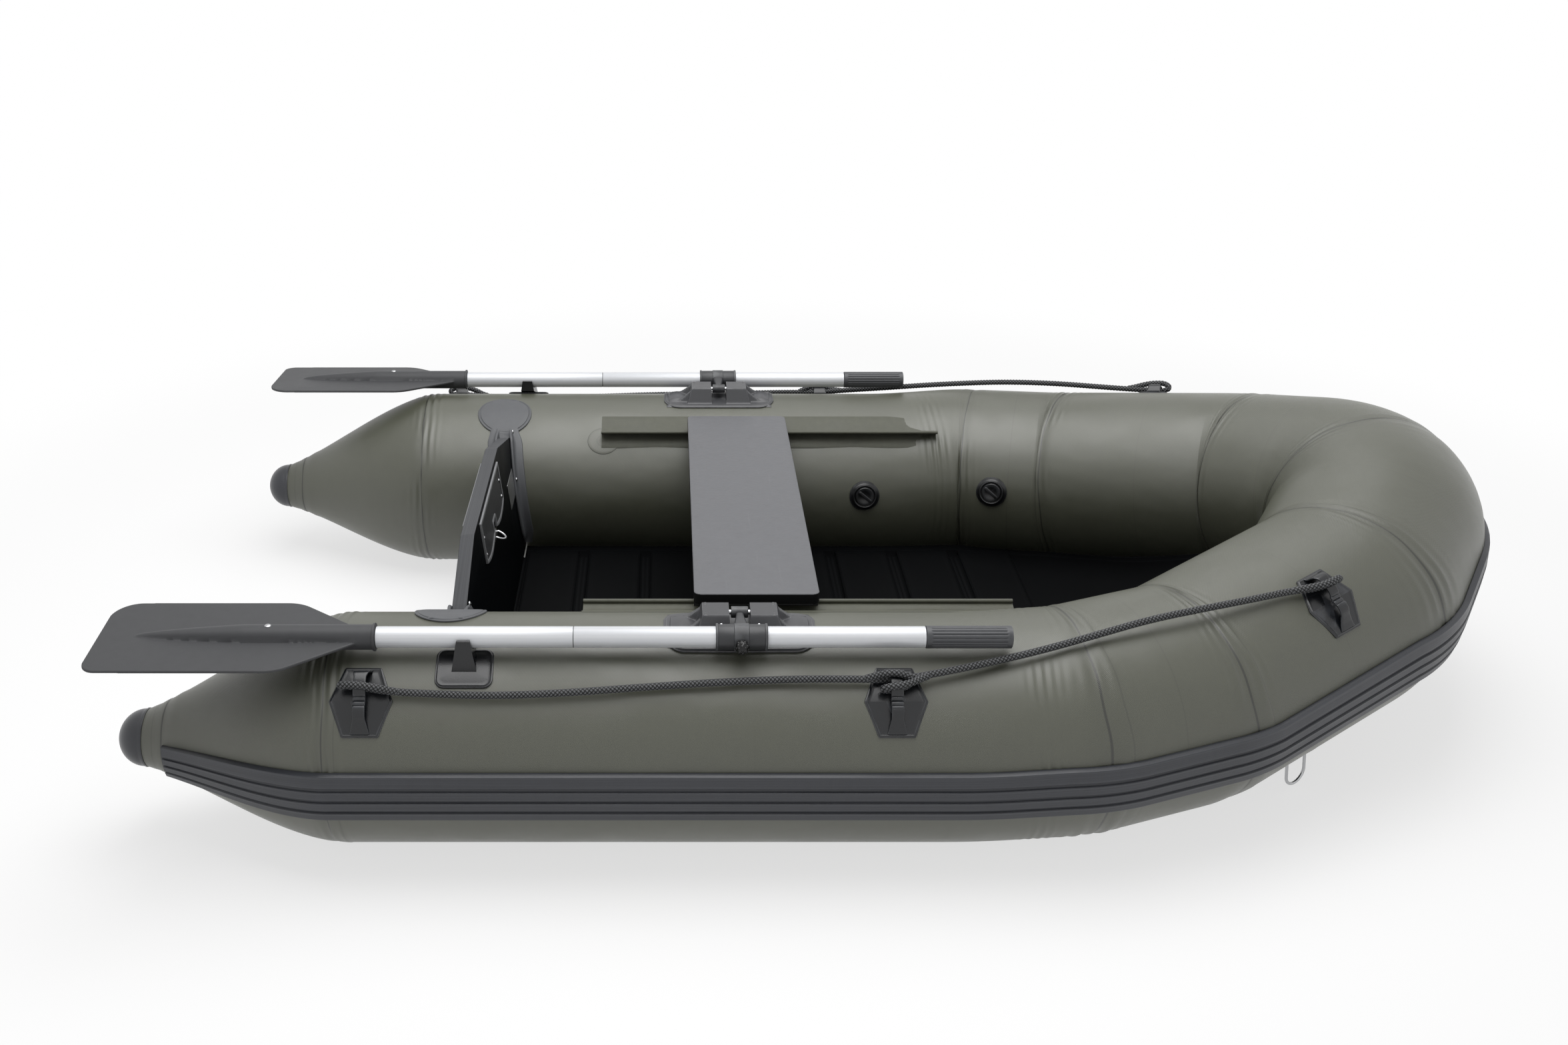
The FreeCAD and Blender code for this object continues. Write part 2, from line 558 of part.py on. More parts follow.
# The strap's middle line over a patch: distance round the tube from the patch's centre and height.
STRAP_LINE = [(-47, 3.2), (-38, 5.5), (-28, 10.5), (-21, 15.5), (-14, 17), (-8, 15.8), (-2, 13.6), (4, 15.4),
              (9, 19.4), (16, 21.2), (26, 21.6), (35, 20.8), (40.5, 16.5), (42.5, 11), (44, 6), (48, 3.4)]


def strap_side(offset):
    """One side of the strap as a smooth curve, offset from its middle line."""
    line = [Vector(0, y, h) for y, h in STRAP_LINE]
    points = []
    for number, point in enumerate(line):
        way = line[min(number + 1, len(line) - 1)] - line[max(number - 1, 0)]
        across = Vector(0, -way.z, way.y).normalize()
        moved = point + across * offset
        turn = moved.y / radius
        reach = radius + moved.z
        points.append(Vector(0, reach * math.sin(turn), reach * math.cos(turn)))
    curve = Part.BSplineCurve()
    curve.interpolate(points)
    return curve.toShape(), points


def strap_face():
    """The strap's section along its length."""
    upper, upper_points = strap_side(size("strap_thick") / 2)
    lower, lower_points = strap_side(-size("strap_thick") / 2)
    ends = [Part.LineSegment(upper_points[end], lower_points[end]).toShape() for end in (0, -1)]
    return Part.Face(Part.Wire(Part.__sortEdges__([upper, ends[1], lower, ends[0]])))


def rope_patch(name, place):
    """A six-sided rubber patch with a stepped rim and a raised strap that the lifeline passes under."""
    half_width = size("patch_half_width")
    half_height = size("patch_half_height")
    edge = size("patch_edge")
    plates = []
    for layer, inset, thick in (("rim", 0, "patch_rim_skin"), ("plate", size("patch_rim"), "patch_skin")):
        wide, tall, short = half_width - inset, half_height - inset, edge - inset / 2
        corners = [(wide, 0), (short, tall), (-short, tall), (-wide, 0), (-short, -tall), (short, -tall)]
        plan = prism("%s_%s_plan" % (name, layer), corners, radius / 2, 2 * radius)
        plates.append(common("%s_%s" % (name, layer), skin("%s_%s_skin" % (name, layer), thick, 3 * half_width),
                             plan))
    strap_half = size("strap_width") / 2
    foot_half = size("strap_foot_width") / 2
    section = feature(name + "_strap_section", strap_face().translated(Vector(-foot_half, 0, 0)))
    blank = extrude(name + "_strap_blank", section, Vector(1, 0, 0), "strap_foot_width")
    waist_low, waist_high, reach_out = -0.5 * half_height, 0.65 * half_height, half_height - size("patch_rim")
    waist = [(foot_half, -reach_out), (strap_half, waist_low), (strap_half, waist_high), (foot_half, reach_out)]
    waist += [(-x, y) for x, y in reversed(waist)]
    strap = common(name + "_strap", blank, prism(name + "_strap_plan", waist, radius / 2, radius))
    whole = fuse(name, *plates, strap)
    whole.Placement = place
    return whole


level = Vector(1, 0, 0)
bow_point, bow_direction = station_on(shoulder, cheek, size("bow_patch_along"))
patch_places = {
    "stern": tube_place(Vector(stern.x + size("stern_patch_along"), -beam, radius), level, size("patch_angle")),
    "mid": tube_place(Vector(sheer.x - size("mid_patch_back"), -beam, radius), level, size("patch_angle")),
    "bow": tube_place(bow_point, bow_direction, size("bow_patch_angle")),
}
for where, place in patch_places.items():
    keep_pair(rope_patch("patch_" + where, place), "rope_patch_" + where)

# Rowlocks: a moulded rubber base with two humps and a steel pin between them.
base_length = size("base_length")
base_rim = common("base_rim_plate", skin("base_rim_shell", "base_rim_skin", base_length * 1.2),
                  rounded_plan("base_plan", "base_length", "base_inboard", "base_outboard", "base_round", 0))
base_plate = common("base_plate", skin("base_skin_shell", "base_skin", base_length * 1.2),
                    rounded_plan("base_inner_plan", "base_length", "base_inboard", "base_outboard", "base_round",
                                 size("base_rim")))
hump_low = 0.8 * radius
hump_top = radius + size("hump_rise")
near = size("hump_gap") / 2


def gusset(name, side, y, splay):
    """A web down a hump's outer side, its top edge a hollow curve; it splays out at the foot."""
    crest = near + size("hump_flat")
    toe = near + size("gusset_reach")
    low = radius + size("base_skin") / 2
    middle = Vector(side * (crest + toe) / 2, y, (hump_top + low) / 2 - size("gusset_sag"))
    start = Vector(side * (crest - size("gusset_thick")), y, hump_top)
    shoulder_point = Vector(side * crest, y, hump_top)
    end = Vector(side * toe, y, low)
    under_end = Vector(side * toe, y, hump_low)
    under_start = Vector(start.x, y, hump_low)
    outline = Part.Wire([Part.LineSegment(start, shoulder_point).toShape(),
                         Part.Arc(shoulder_point, middle, end).toShape(),
                         Part.LineSegment(end, under_end).toShape(),
                         Part.LineSegment(under_end, under_start).toShape(),
                         Part.LineSegment(under_start, start).toShape()])
    web = extrude(name, feature(name + "_side", Part.Face(outline)), Vector(0, 1, 0), size("gusset_thick"))
    web.Placement = Placement(Vector(0, 0, 0), Rotation(Vector(0, 0, 1), side * splay), Vector(side * crest, y, 0))
    return web


humps = []
for side in (-1, 1):
    hump = add("Part::Wedge", "hump_%d" % (side + 1), Xmin=0.0, Xmax=1.0)
    bottom_span = sorted([side * near, side * (near + size("hump_foot"))])
    top_span = sorted([side * near, side * (near + size("hump_flat"))])
    hump.Xmin, hump.Xmax = bottom_span
    hump.X2min, hump.X2max = top_span
    hump.Ymin, hump.Ymax = hump_low, hump_top
    hump.Zmin, hump.Zmax = -size("hump_foot_inboard"), size("hump_foot_outboard")
    hump.Z2min, hump.Z2max = -size("hump_inboard"), size("hump_outboard")
    hump.Placement = Placement(Vector(0, 0, 0), Rotation(Vector(1, 0, 0), 90))
    humps.append(hump)
    for end, y, splay in (("fore", size("hump_inboard") - size("gusset_thick"), size("gusset_splay")),
                          ("back", -size("hump_outboard"), -size("gusset_splay"))):
        humps.append(gusset("gusset_%s_%d" % (end, side + 1), side, y, splay))
hump_pair = fuse("hump_pair", *humps)
hump_seat = rod("hump_seat", "tube_radius + seat_gap", 2 * base_length, -base_length, 0, 0)
humps_cut = cut("humps_seated", hump_pair, hump_seat)
pin_height = crown + size("pin_rise")
pin_hole = rod("pin_hole", "pin_radius", "pin_length", -size("pin_length") / 2, 0, pin_height - radius)
base_whole = cut("rowlock_base_body", fuse("rowlock_base_blank", base_rim, base_plate, humps_cut), pin_hole)
base_whole.Placement = Placement(Vector(size("rowlock_x"), -beam, radius), Rotation())
keep_pair(base_whole, "rowlock_base")
pin_x = size("rowlock_x") - size("pin_length") / 2
keep_pair(rod("rowlock_pin_bar", "pin_radius", "pin_length", pin_x, -beam, pin_height), "rowlock_pin")

# Oar: shaft, socketed blade and ribbed grip, carried by a collar on the rowlock's knuckle.
oar_y = -beam - size("oar_offset")
oar_z = crown + size("oar_rise")
oar_aft_x = size("rowlock_x") - size("oar_aft")
keep_pair(rod("oar_shaft_tube", "oar_radius", "oar_fore + oar_aft", oar_aft_x, oar_y, oar_z), "oar_shaft")

grip_x = size("rowlock_x") + size("oar_fore")
grip_core = rod("grip_core", "grip_radius", "grip_length", grip_x, oar_y, oar_z)
flutes = []
flute_count = int(size("grip_flutes"))
for number in range(flute_count):
    turn = 2 * math.pi * number / flute_count
    flutes.append(rod("grip_flute_%d" % number, "flute_radius", "grip_length - 2 * flute_end",
                      grip_x + size("flute_end"), oar_y + size("grip_radius") * math.cos(turn),
                      oar_z + size("grip_radius") * math.sin(turn)))
keep_pair(cut("grip_body", grip_core, add("Part::Compound", "grip_flutes", Links=flutes)), "oar_grip")

tilt = math.degrees(math.atan2(pin_height - oar_z, size("oar_offset")))
blade_turn = Rotation(Vector(1, 0, 0), tilt)
blade_half = size("blade_half")
tip_x = oar_aft_x - size("blade_length")
full_x = oar_aft_x - size("blade_shoulder")
socket_x = oar_aft_x - size("socket_length")
thick = size("blade_thick")
socket_r = size("socket_radius")
root_x = socket_x + size("blade_lap")
plan_points = [Vector(root_x, -socket_r * 0.9, 0), Vector(full_x, -blade_half, 0), Vector(tip_x, -blade_half, 0),
               Vector(tip_x, blade_half, 0), Vector(full_x, blade_half, 0), Vector(root_x, socket_r * 0.9, 0)]
blade_plan = Part.Face(Part.makePolygon(plan_points + plan_points[:1]))
blade_sheet = blade_plan.extrude(Vector(0, 0, thick)).translated(Vector(0, 0, -thick / 2))


def upright_edges(shape, x, y_side):
    """The upright edges of a sheet at a distance along it, on the outboard (-1) or inboard (1) side."""
    return [edge for edge in shape.Edges if abs(edge.tangentAt(edge.FirstParameter).z) > 0.9
            and abs(edge.CenterOfMass.x - x) < 1 and edge.CenterOfMass.y * y_side > 0]


blade_sheet = blade_sheet.makeFillet(size("blade_corner"), upright_edges(blade_sheet, tip_x, -1))
blade_sheet = blade_sheet.makeFillet(size("blade_far_corner"), upright_edges(blade_sheet, tip_x, 1))
for y_side in (-1, 1):
    blade_sheet = blade_sheet.makeFillet(size("blade_shoulder_bend"), upright_edges(blade_sheet, full_x, y_side))
blade_flat = feature("blade_flat", blade_sheet)

# The blade's spine grows quickly from a point, then runs at the socket's own radius.
spine_tip_x = tip_x + size("spine_short")
spine_rings = []
for number, share in enumerate((0, 0.12, 0.4, 1)):
    ring_radius = size("spine_tip_radius") + (socket_r - size("spine_tip_radius")) * share ** 0.55
    ring_place = at(spine_tip_x + share * size("spine_growth"), 0, 0, ALONG_X)
    spine_rings.append(add("Part::Circle", "spine_ring_%d" % number, ring_place, Radius=ring_radius))
spine_point = add("Part::Loft", "spine_point", Sections=spine_rings, Solid=True, Ruled=False)
spine_full_x = spine_tip_x + size("spine_growth")
spine_bar = rod("spine_bar", "socket_radius", socket_x - spine_full_x, spine_full_x, 0, 0)
flange = rod("socket_rim", "socket_radius + socket_flange", "flange_thick", oar_aft_x - size("flange_thick"), 0, 0)
socket_bar = rod("blade_socket", "socket_radius", "socket_length", socket_x, 0, 0)
blade_body = fuse("blade_body", blade_flat, spine_point, spine_bar, socket_bar, flange)
blade_body.Placement = Placement(Vector(0, oar_y, oar_z), blade_turn)
keep_pair(blade_body, "oar_blade")

# The collar is clamped on the shaft; its stud line runs from the pin through the knob.
collar_length = size("collar_length")
collar_bar = rod("collar_bar", "collar_radius", "collar_length", -collar_length / 2, 0, 0)
collar_band = rod("collar_band", "collar_radius + collar_band_rise", "collar_band", -size("collar_band") / 2, 0, 0)
lip_bars = [rod("collar_lip_%d" % number, "collar_radius + collar_band_rise", "collar_lip", lip_x, 0, 0)
            for number, lip_x in enumerate((-collar_length / 2, collar_length / 2 - size("collar_lip")))]
collar_bore = rod("collar_bore", "oar_radius", 2 * collar_length, -collar_length, 0, 0)
collar_body = cut("collar_body", fuse("collar_blank", collar_bar, collar_band, *lip_bars), collar_bore)
stud_turn = Rotation(Vector(1, 0, 0), tilt)
collar_body.Placement = Placement(Vector(size("rowlock_x"), oar_y, oar_z), stud_turn)
keep_pair(collar_body, "oar_collar")

stud_reach = math.hypot(size("oar_offset"), pin_height - oar_z)
TOWARDS_OAR = Rotation(Vector(1, 0, 0), 90)
eye = rod("knuckle_eye", "eye_radius", "eye_width", -size("eye_width") / 2, 0, 0)
neck = add("Part::Cone", "knuckle_neck", Placement(Vector(0, 0, 0), TOWARDS_OAR),
           Radius1="neck_tip_radius", Radius2="neck_radius", Height=stud_reach)
pin_bore = rod("knuckle_bore", "pin_radius + pin_fit", 2 * size("eye_width"), -size("eye_width"), 0, 0)
collar_room = rod("knuckle_seat", "collar_radius + collar_band_rise", 2 * collar_length, -collar_length, -stud_reach, 0)
knuckle_body = cut("knuckle_body", fuse("knuckle_blank", eye, neck), fuse("knuckle_holes", pin_bore, collar_room))
knuckle_body.Placement = Placement(Vector(size("rowlock_x"), -beam, pin_height), stud_turn)
keep_pair(knuckle_body, "oar_knuckle")

knob_ball = add("Part::Sphere", "knob_ball", at(0, -stud_reach - size("collar_radius") - size("knob_stand"), 0),
                Radius="knob_radius")
knob_stem = add("Part::Cylinder", "knob_stem_bar",
                Placement(Vector(0, -stud_reach - size("collar_radius"), 0), TOWARDS_OAR),
                Radius="knob_stem", Height="knob_stand")
knob_room = rod("knob_seat", "collar_radius + collar_band_rise", 2 * collar_length, -collar_length, -stud_reach, 0)
knob_body = cut("knob_body", fuse("knob_blank", knob_ball, knob_stem), knob_room)
knob_body.Placement = Placement(Vector(size("rowlock_x"), -beam, pin_height), stud_turn)
keep_pair(knob_body, "oar_knob")

# Oar clip: an open cradle on a foot, bonded to the tube under the shaft.
clip_inside = size("oar_radius") + size("clip_clear")
clip_x = size("rowlock_x") - size("clip_back")
clip_width = size("clip_width")
clip_aft = -clip_width / 2
clip_ring = rod("clip_ring", "oar_radius + clip_clear + clip_wall", "clip_width", clip_aft, 0, 0)
clip_arm = slab("clip_arm", "clip_width", "oar_radius + clip_clear + clip_wall", "clip_arm", clip_aft, 0, 0)
clip_top = slab("clip_top", 2 * clip_width, 4 * clip_inside, 4 * clip_inside, -clip_width,
                -2 * clip_inside, size("clip_arm"))
clip_mouth = slab("clip_mouth", 2 * clip_width, "2 * oar_radius + 2 * clip_clear", 4 * clip_inside, -clip_width,
                  -clip_inside, 0)
clip_bore = rod("clip_bore", "oar_radius + clip_clear", 2 * clip_width, -clip_width, 0, 0)
clip_stem = add("Part::Wedge", "clip_stem", Xmin=0.0)
clip_stem.Xmin, clip_stem.Xmax = -size("clip_foot_width") / 2, size("clip_foot_width") / 2
clip_stem.X2min, clip_stem.X2max = clip_aft, -clip_aft
clip_stem.Ymin, clip_stem.Ymax = -3 * clip_inside, -0.6 * clip_inside
clip_stem.Zmin, clip_stem.Zmax = -clip_inside - size("clip_wall"), clip_inside
clip_stem.Z2min, clip_stem.Z2max = -clip_inside * 0.8, clip_inside * 0.8
clip_stem.Placement = Placement(Vector(0, 0, 0), Rotation(Vector(1, 0, 0), 90))
clip_prong = add("Part::Wedge", "clip_prong", Zmin=clip_inside, Z2min=clip_inside)
clip_prong.Xmin, clip_prong.Xmax = -size("prong_foot") / 2, size("prong_foot") / 2
clip_prong.X2min, clip_prong.X2max = clip_aft, -clip_aft
clip_prong.Ymin, clip_prong.Ymax = -size("prong_low"), size("clip_arm")
clip_prong.Zmax = clip_inside + size("prong_foot_thick")
clip_prong.Z2max = clip_inside + size("prong_tip_thick")
clip_prong.Placement = Placement(Vector(0, 0, 0), Rotation(Vector(1, 0, 0), 90))
clip_blank = fuse("clip_blank", clip_ring, clip_arm, clip_stem, clip_prong)
clip_open = cut("clip_open", clip_blank, fuse("clip_hollow", clip_top, clip_mouth, clip_bore))
clip_open.Placement = Placement(Vector(clip_x, oar_y, oar_z), Rotation())
clip_seat = rod("clip_seat", "tube_radius + seat_gap", 4 * size("clip_patch_length"),
                clip_x - 2 * size("clip_patch_length"), -beam, radius)
clip_hook = cut("clip_hook", clip_open, clip_seat)
pad_reach = 2 * size("clip_patch_length")
pad_layers = []
for layer, inset, thick in (("rim", 0, "patch_rim_skin"), ("plate", size("patch_rim"), "patch_skin")):
    plan = rounded_plan("clip_pad_%s_plan" % layer, "clip_patch_length", "clip_patch_half", "clip_patch_half",
                        "clip_patch_round", inset)
    pad_layers.append(common("clip_pad_" + layer, skin("clip_%s_skin" % layer, thick, pad_reach), plan))
clip_pad = fuse("clip_pad", *pad_layers)
clip_pad.Placement = tube_place(Vector(clip_x, -beam, radius), level, size("clip_patch_angle"))
keep_pair(fuse("clip_body", clip_hook, clip_pad), "oar_clip")


# Valves: a flanged boss with a bayonet cap, on the tubes' inner faces.
def valve(name, place):
    flange = common(name + "_flange", skin(name + "_skin", "valve_flange_skin", 4 * size("valve_flange")),
                    add("Part::Cylinder", name + "_flange_zone", at(0, 0, radius / 2),
                        Radius="valve_flange", Height=radius))
    boss = add("Part::Cylinder", name + "_boss", at(0, 0, radius / 2), Radius="valve_boss",
               Height="tube_radius / 2 + valve_boss_rise")
    cap = add("Part::Cylinder", name + "_cap", at(0, 0, radius / 2), Radius="valve_cap",
              Height="tube_radius / 2 + valve_cap_rise")
    bar = plan_box(name + "_bar", "valve_bar_length", "valve_bar_width", radius / 2,
                   "tube_radius / 2 + valve_bar_rise", size("valve_bar_turn"))
    seat = rod(name + "_seat", "tube_radius + seat_gap", 2 * radius, -radius, 0, 0)
    whole = fuse(name, flange, cut(name + "_core", fuse(name + "_core_blank", boss, cap, bar), seat))
    whole.Placement = place
    return whole


fore_point, fore_direction = station_on(quarter, shoulder, size("fore_valve_along"))
valve_point = Vector(sheer.x - size("valve_back"), -beam, radius)
valve_pair = [valve("valve_mid", tube_place(valve_point, level, size("valve_angle"))),
              valve("valve_fore", tube_place(fore_point, fore_direction, size("valve_angle")))]
keep_pair(add("Part::Compound", "valve_set", Links=valve_pair), "valves")

# Towing rings: a round patch with a webbing loop that holds a D-shaped ring.
ring_point, ring_direction = station_on(shoulder, cheek, size("ring_along"))
ring_place = tube_place(ring_point, ring_direction, size("ring_angle"))
ring_pad = common("ring_pad", skin("ring_skin", "ring_patch_skin", 4 * size("ring_patch_radius")),
                  add("Part::Cylinder", "ring_pad_zone", at(0, 0, radius / 2),
                      Radius="ring_patch_radius", Height=radius))
bar_rise = size("ring_bar")
ring_wire = size("ring_wire")
loop_length = size("ring_width") - 4 * ring_wire
loop_radius = ring_wire + size("loop_wall")
loop_outer = add("Part::Cylinder", "loop_outer", at(-loop_length / 2, 0, radius + bar_rise, ALONG_X),
                 Radius=loop_radius, Height=loop_length)
loop_foot = slab("loop_foot", loop_length, 2 * loop_radius, bar_rise + size("loop_root"),
                 -loop_length / 2, -loop_radius, radius - size("loop_root"))
loop_seat = rod("loop_seat", "tube_radius + seat_gap", 2 * radius, -radius, 0, 0)
loop_bore = rod("loop_bore", ring_wire + size("loop_fit"), 2 * loop_length, -loop_length, 0, radius + bar_rise)
loop_body = cut("loop_body", cut("loop_seated", fuse("loop_blank", loop_outer, loop_foot), loop_seat), loop_bore)
ring_carrier = fuse("ring_carrier", ring_pad, loop_body)
ring_carrier.Placement = ring_place
keep_pair(ring_carrier, "ring_patch")

half_ring = size("ring_width") / 2
ring_drop = size("ring_drop")
ring_line = Part.Wire([
    Part.LineSegment(Vector(-half_ring, 0, 0), Vector(half_ring, 0, 0)).toShape(),
    Part.LineSegment(Vector(half_ring, 0, 0), Vector(half_ring, 0, ring_drop)).toShape(),
    Part.Arc(Vector(half_ring, 0, ring_drop), Vector(0, 0, ring_drop + half_ring),
             Vector(-half_ring, 0, ring_drop)).toShape(),
    Part.LineSegment(Vector(-half_ring, 0, ring_drop), Vector(-half_ring, 0, 0)).toShape()])
ring_section = Part.Wire(Part.makeCircle(ring_wire, Vector(0, 0, 0), Vector(1, 0, 0)))
ring_shape = ring_line.makePipeShell([ring_section], True, False, 2)
hang = ring_place.multVec(Vector(0, 0, radius + bar_rise))
tangent = ring_direction
downward = Vector(0, 0, -1)
downward = (downward - tangent * downward.dot(tangent)).normalize()
ring_feature = feature("tow_ring_wire", ring_shape)
ring_feature.Placement = Placement(hang, Rotation(tangent, downward.cross(tangent), downward, "XZY"))
keep_pair(ring_feature, "tow_ring")

# Lifeline: a braided rope through the three straps, lying on the tube between them.
LIFELINE = [(-772, 634, 326), (-749, 636, 325), (-705, 640, 319), (-640, 643, 317), (-560, 645, 315),
            (-450, 642, 318), (-340, 636, 324), (-220, 629, 329), (-110, 625, 332), (-30, 627, 333),
            (37, 627, 332), (85, 624, 338), (165, 610, 348), (260, 591, 362), (345, 567, 375), (430, 541, 387),
            (530, 513, 393), (610, 487, 395), (664, 468, 397), (706, 460, 397), (734, 447, 400)]


def rope_bends(points):
    """Each arc takes 0.45 of its shorter run."""
    bends = []
    for before, corner, after in zip(points, points[1:], points[2:]):
        half = (corner - before).getAngle(after - corner) / 2
        shorter = min((corner - before).Length, (after - corner).Length)
        bends.append(0.45 * shorter / math.tan(half))
    return bends


rope_points = [Vector(x, -y, z) for x, y, z in LIFELINE]
rope_radii = rope_bends(rope_points)
print("lifeline bend radii", [round(bend) for bend in rope_radii])
rope_path = rounded_path(rope_points, rope_radii)
print("lifeline length", round(rope_path.Length))
rope_start = facing(rope_points[0], (rope_points[1] - rope_points[0]).normalize())
keep_pair(sweep("lifeline_rope", rope_path, rope_start, "rope_radius"), "lifeline")

doc.recompute()
failed = [entry.Name for entry in doc.Objects if "Invalid" in entry.State or "Error" in entry.State]
for part in subparts:
    if part.Shape.isNull() or not part.Shape.isValid() or not part.Shape.Solids:
        failed.append(part.Label)
if failed:
    raise SystemExit("failed: " + ", ".join(failed))
os.makedirs("parts", exist_ok=True)
overall = FreeCAD.BoundBox()
for part in subparts:
    part.Shape.exportStep("parts/%s.step" % part.Label)
    if "lifeline" not in part.Label:
        overall.add(part.Shape.BoundBox)
print("%d pieces" % len(subparts))
print("box", [round(value, 2) for value in (overall.XMin, overall.YMin, overall.ZMin,
                                            overall.XMax, overall.YMax, overall.ZMax)])
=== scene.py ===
# An olive inflatable dinghy with a slatted floor, a sliding thwart and two stowed oars.
# Metres; +X towards the bow, +Y to port, +Z up; the origin is on the ground, amidships.
import json
import math

import bpy
import numpy as np
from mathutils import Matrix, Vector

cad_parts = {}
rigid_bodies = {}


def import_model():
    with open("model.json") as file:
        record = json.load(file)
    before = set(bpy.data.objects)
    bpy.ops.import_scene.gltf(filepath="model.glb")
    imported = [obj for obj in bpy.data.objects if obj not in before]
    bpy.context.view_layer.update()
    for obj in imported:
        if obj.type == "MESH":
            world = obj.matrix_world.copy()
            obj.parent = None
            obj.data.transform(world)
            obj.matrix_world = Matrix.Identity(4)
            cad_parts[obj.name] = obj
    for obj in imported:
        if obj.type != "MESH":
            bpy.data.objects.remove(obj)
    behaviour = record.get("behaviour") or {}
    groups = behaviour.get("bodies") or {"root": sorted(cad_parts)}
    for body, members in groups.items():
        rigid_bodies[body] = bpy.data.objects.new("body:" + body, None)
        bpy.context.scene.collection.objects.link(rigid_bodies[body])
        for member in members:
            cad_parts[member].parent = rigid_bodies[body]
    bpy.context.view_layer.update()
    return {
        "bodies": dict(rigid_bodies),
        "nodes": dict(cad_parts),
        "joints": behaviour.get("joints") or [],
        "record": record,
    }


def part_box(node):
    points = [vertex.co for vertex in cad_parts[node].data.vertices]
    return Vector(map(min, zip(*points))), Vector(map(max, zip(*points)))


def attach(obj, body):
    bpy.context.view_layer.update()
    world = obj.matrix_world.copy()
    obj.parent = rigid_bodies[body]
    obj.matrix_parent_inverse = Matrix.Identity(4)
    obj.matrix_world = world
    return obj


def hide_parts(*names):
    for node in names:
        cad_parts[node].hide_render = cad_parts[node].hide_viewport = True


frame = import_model()

# The camera stands off the starboard side, a little aft of amidships and well above the tubes.
# Its height, tilt and focal length were solved from the photo's parallel tubes and uprights.
photo_width, photo_height = 2352, 1568
focal_px = 2316.06
principal_px = (999.0, 789.1)
camera_dip = math.radians(24.52)

camera_data = bpy.data.cameras.new("camera")
camera_data.sensor_width = 36
camera_data.lens = focal_px * camera_data.sensor_width / photo_width
camera_data.shift_x = (photo_width / 2 - principal_px[0]) / photo_width
camera_data.shift_y = (principal_px[1] - photo_height / 2) / photo_width
camera_data.clip_end = 200
camera = bpy.data.objects.new("camera", camera_data)
camera.location = (-0.301, -2.5972, 1.479)
camera.rotation_euler = (math.pi / 2 - camera_dip, 0, 0)
bpy.context.scene.collection.objects.link(camera)
bpy.context.scene.camera = camera

# Lifelines: one black braided rope along each side, led through the three bonded straps.
# Each is hooked round its end straps with a spliced eye, and hitched over the middle one.
rope_route = [(-0.772, 0.634, 0.326), (-0.749, 0.636, 0.325), (-0.705, 0.640, 0.319), (-0.640, 0.643, 0.317),
              (-0.560, 0.645, 0.315), (-0.450, 0.642, 0.318), (-0.340, 0.636, 0.324), (-0.220, 0.629, 0.329),
              (-0.110, 0.625, 0.332), (-0.030, 0.627, 0.333), (0.037, 0.627, 0.332), (0.085, 0.624, 0.338),
              (0.165, 0.610, 0.348), (0.260, 0.591, 0.362), (0.345, 0.567, 0.375), (0.430, 0.541, 0.387),
              (0.530, 0.513, 0.393), (0.610, 0.487, 0.395), (0.664, 0.468, 0.397), (0.706, 0.460, 0.397),
              (0.734, 0.447, 0.400)]
rope_turns = {
    "stern": [(-0.771, 0.634, 0.326), (-0.778, 0.637, 0.328), (-0.777, 0.644, 0.333),
              (-0.763, 0.648, 0.336), (-0.747, 0.650, 0.336), (-0.732, 0.649, 0.333),
              (-0.718, 0.646, 0.328), (-0.705, 0.642, 0.322), (-0.691, 0.641, 0.319)],
    "mid": [(-0.011, 0.627, 0.333), (0.005, 0.629, 0.339), (0.025, 0.634, 0.348),
            (0.044, 0.635, 0.347), (0.058, 0.635, 0.339), (0.057, 0.633, 0.327), (0.037, 0.637, 0.321),
            (0.018, 0.640, 0.322), (0.016, 0.647, 0.329), (0.028, 0.650, 0.334), (0.045, 0.649, 0.336),
            (0.060, 0.641, 0.336), (0.074, 0.631, 0.337), (0.088, 0.624, 0.338)],
    "bow": [(0.733, 0.448, 0.400), (0.743, 0.443, 0.403), (0.747, 0.447, 0.409), (0.739, 0.456, 0.413),
            (0.726, 0.464, 0.411), (0.711, 0.469, 0.408), (0.694, 0.469, 0.404), (0.679, 0.468, 0.400),
            (0.663, 0.469, 0.397)],
}
rope_radius = 0.00575
braid_columns = 10
crown_length = 0.0062
braid_relief = 0.24
SIDES = {"starboard": -1, "port": 1}


def as_points(values):
    return np.asarray(values, dtype=float)


def unit(vectors):
    """Vectors scaled to a length of one."""
    return vectors / np.linalg.norm(vectors, axis=-1, keepdims=True)


def held(values):
    """Values kept between nothing and one."""
    return np.clip(values, 0, 1)


def full_turn(count):
    """Angles spread evenly round a full turn."""
    return np.linspace(0, 2 * np.pi, count, endpoint=False)


def wheel(first, second, angle):
    """Directions at angles that turn from the first direction towards the second."""
    return first * np.cos(angle)[:, None] + second * np.sin(angle)[:, None]


def gathered(*parts):
    """Points from their coordinates, each given by rows, by columns or by both."""
    return np.stack(np.broadcast_arrays(*parts), -1)


def crossed(rows, columns):
    """Pairs of each row's value with each column's."""
    return gathered(rows[:, None], columns[None])


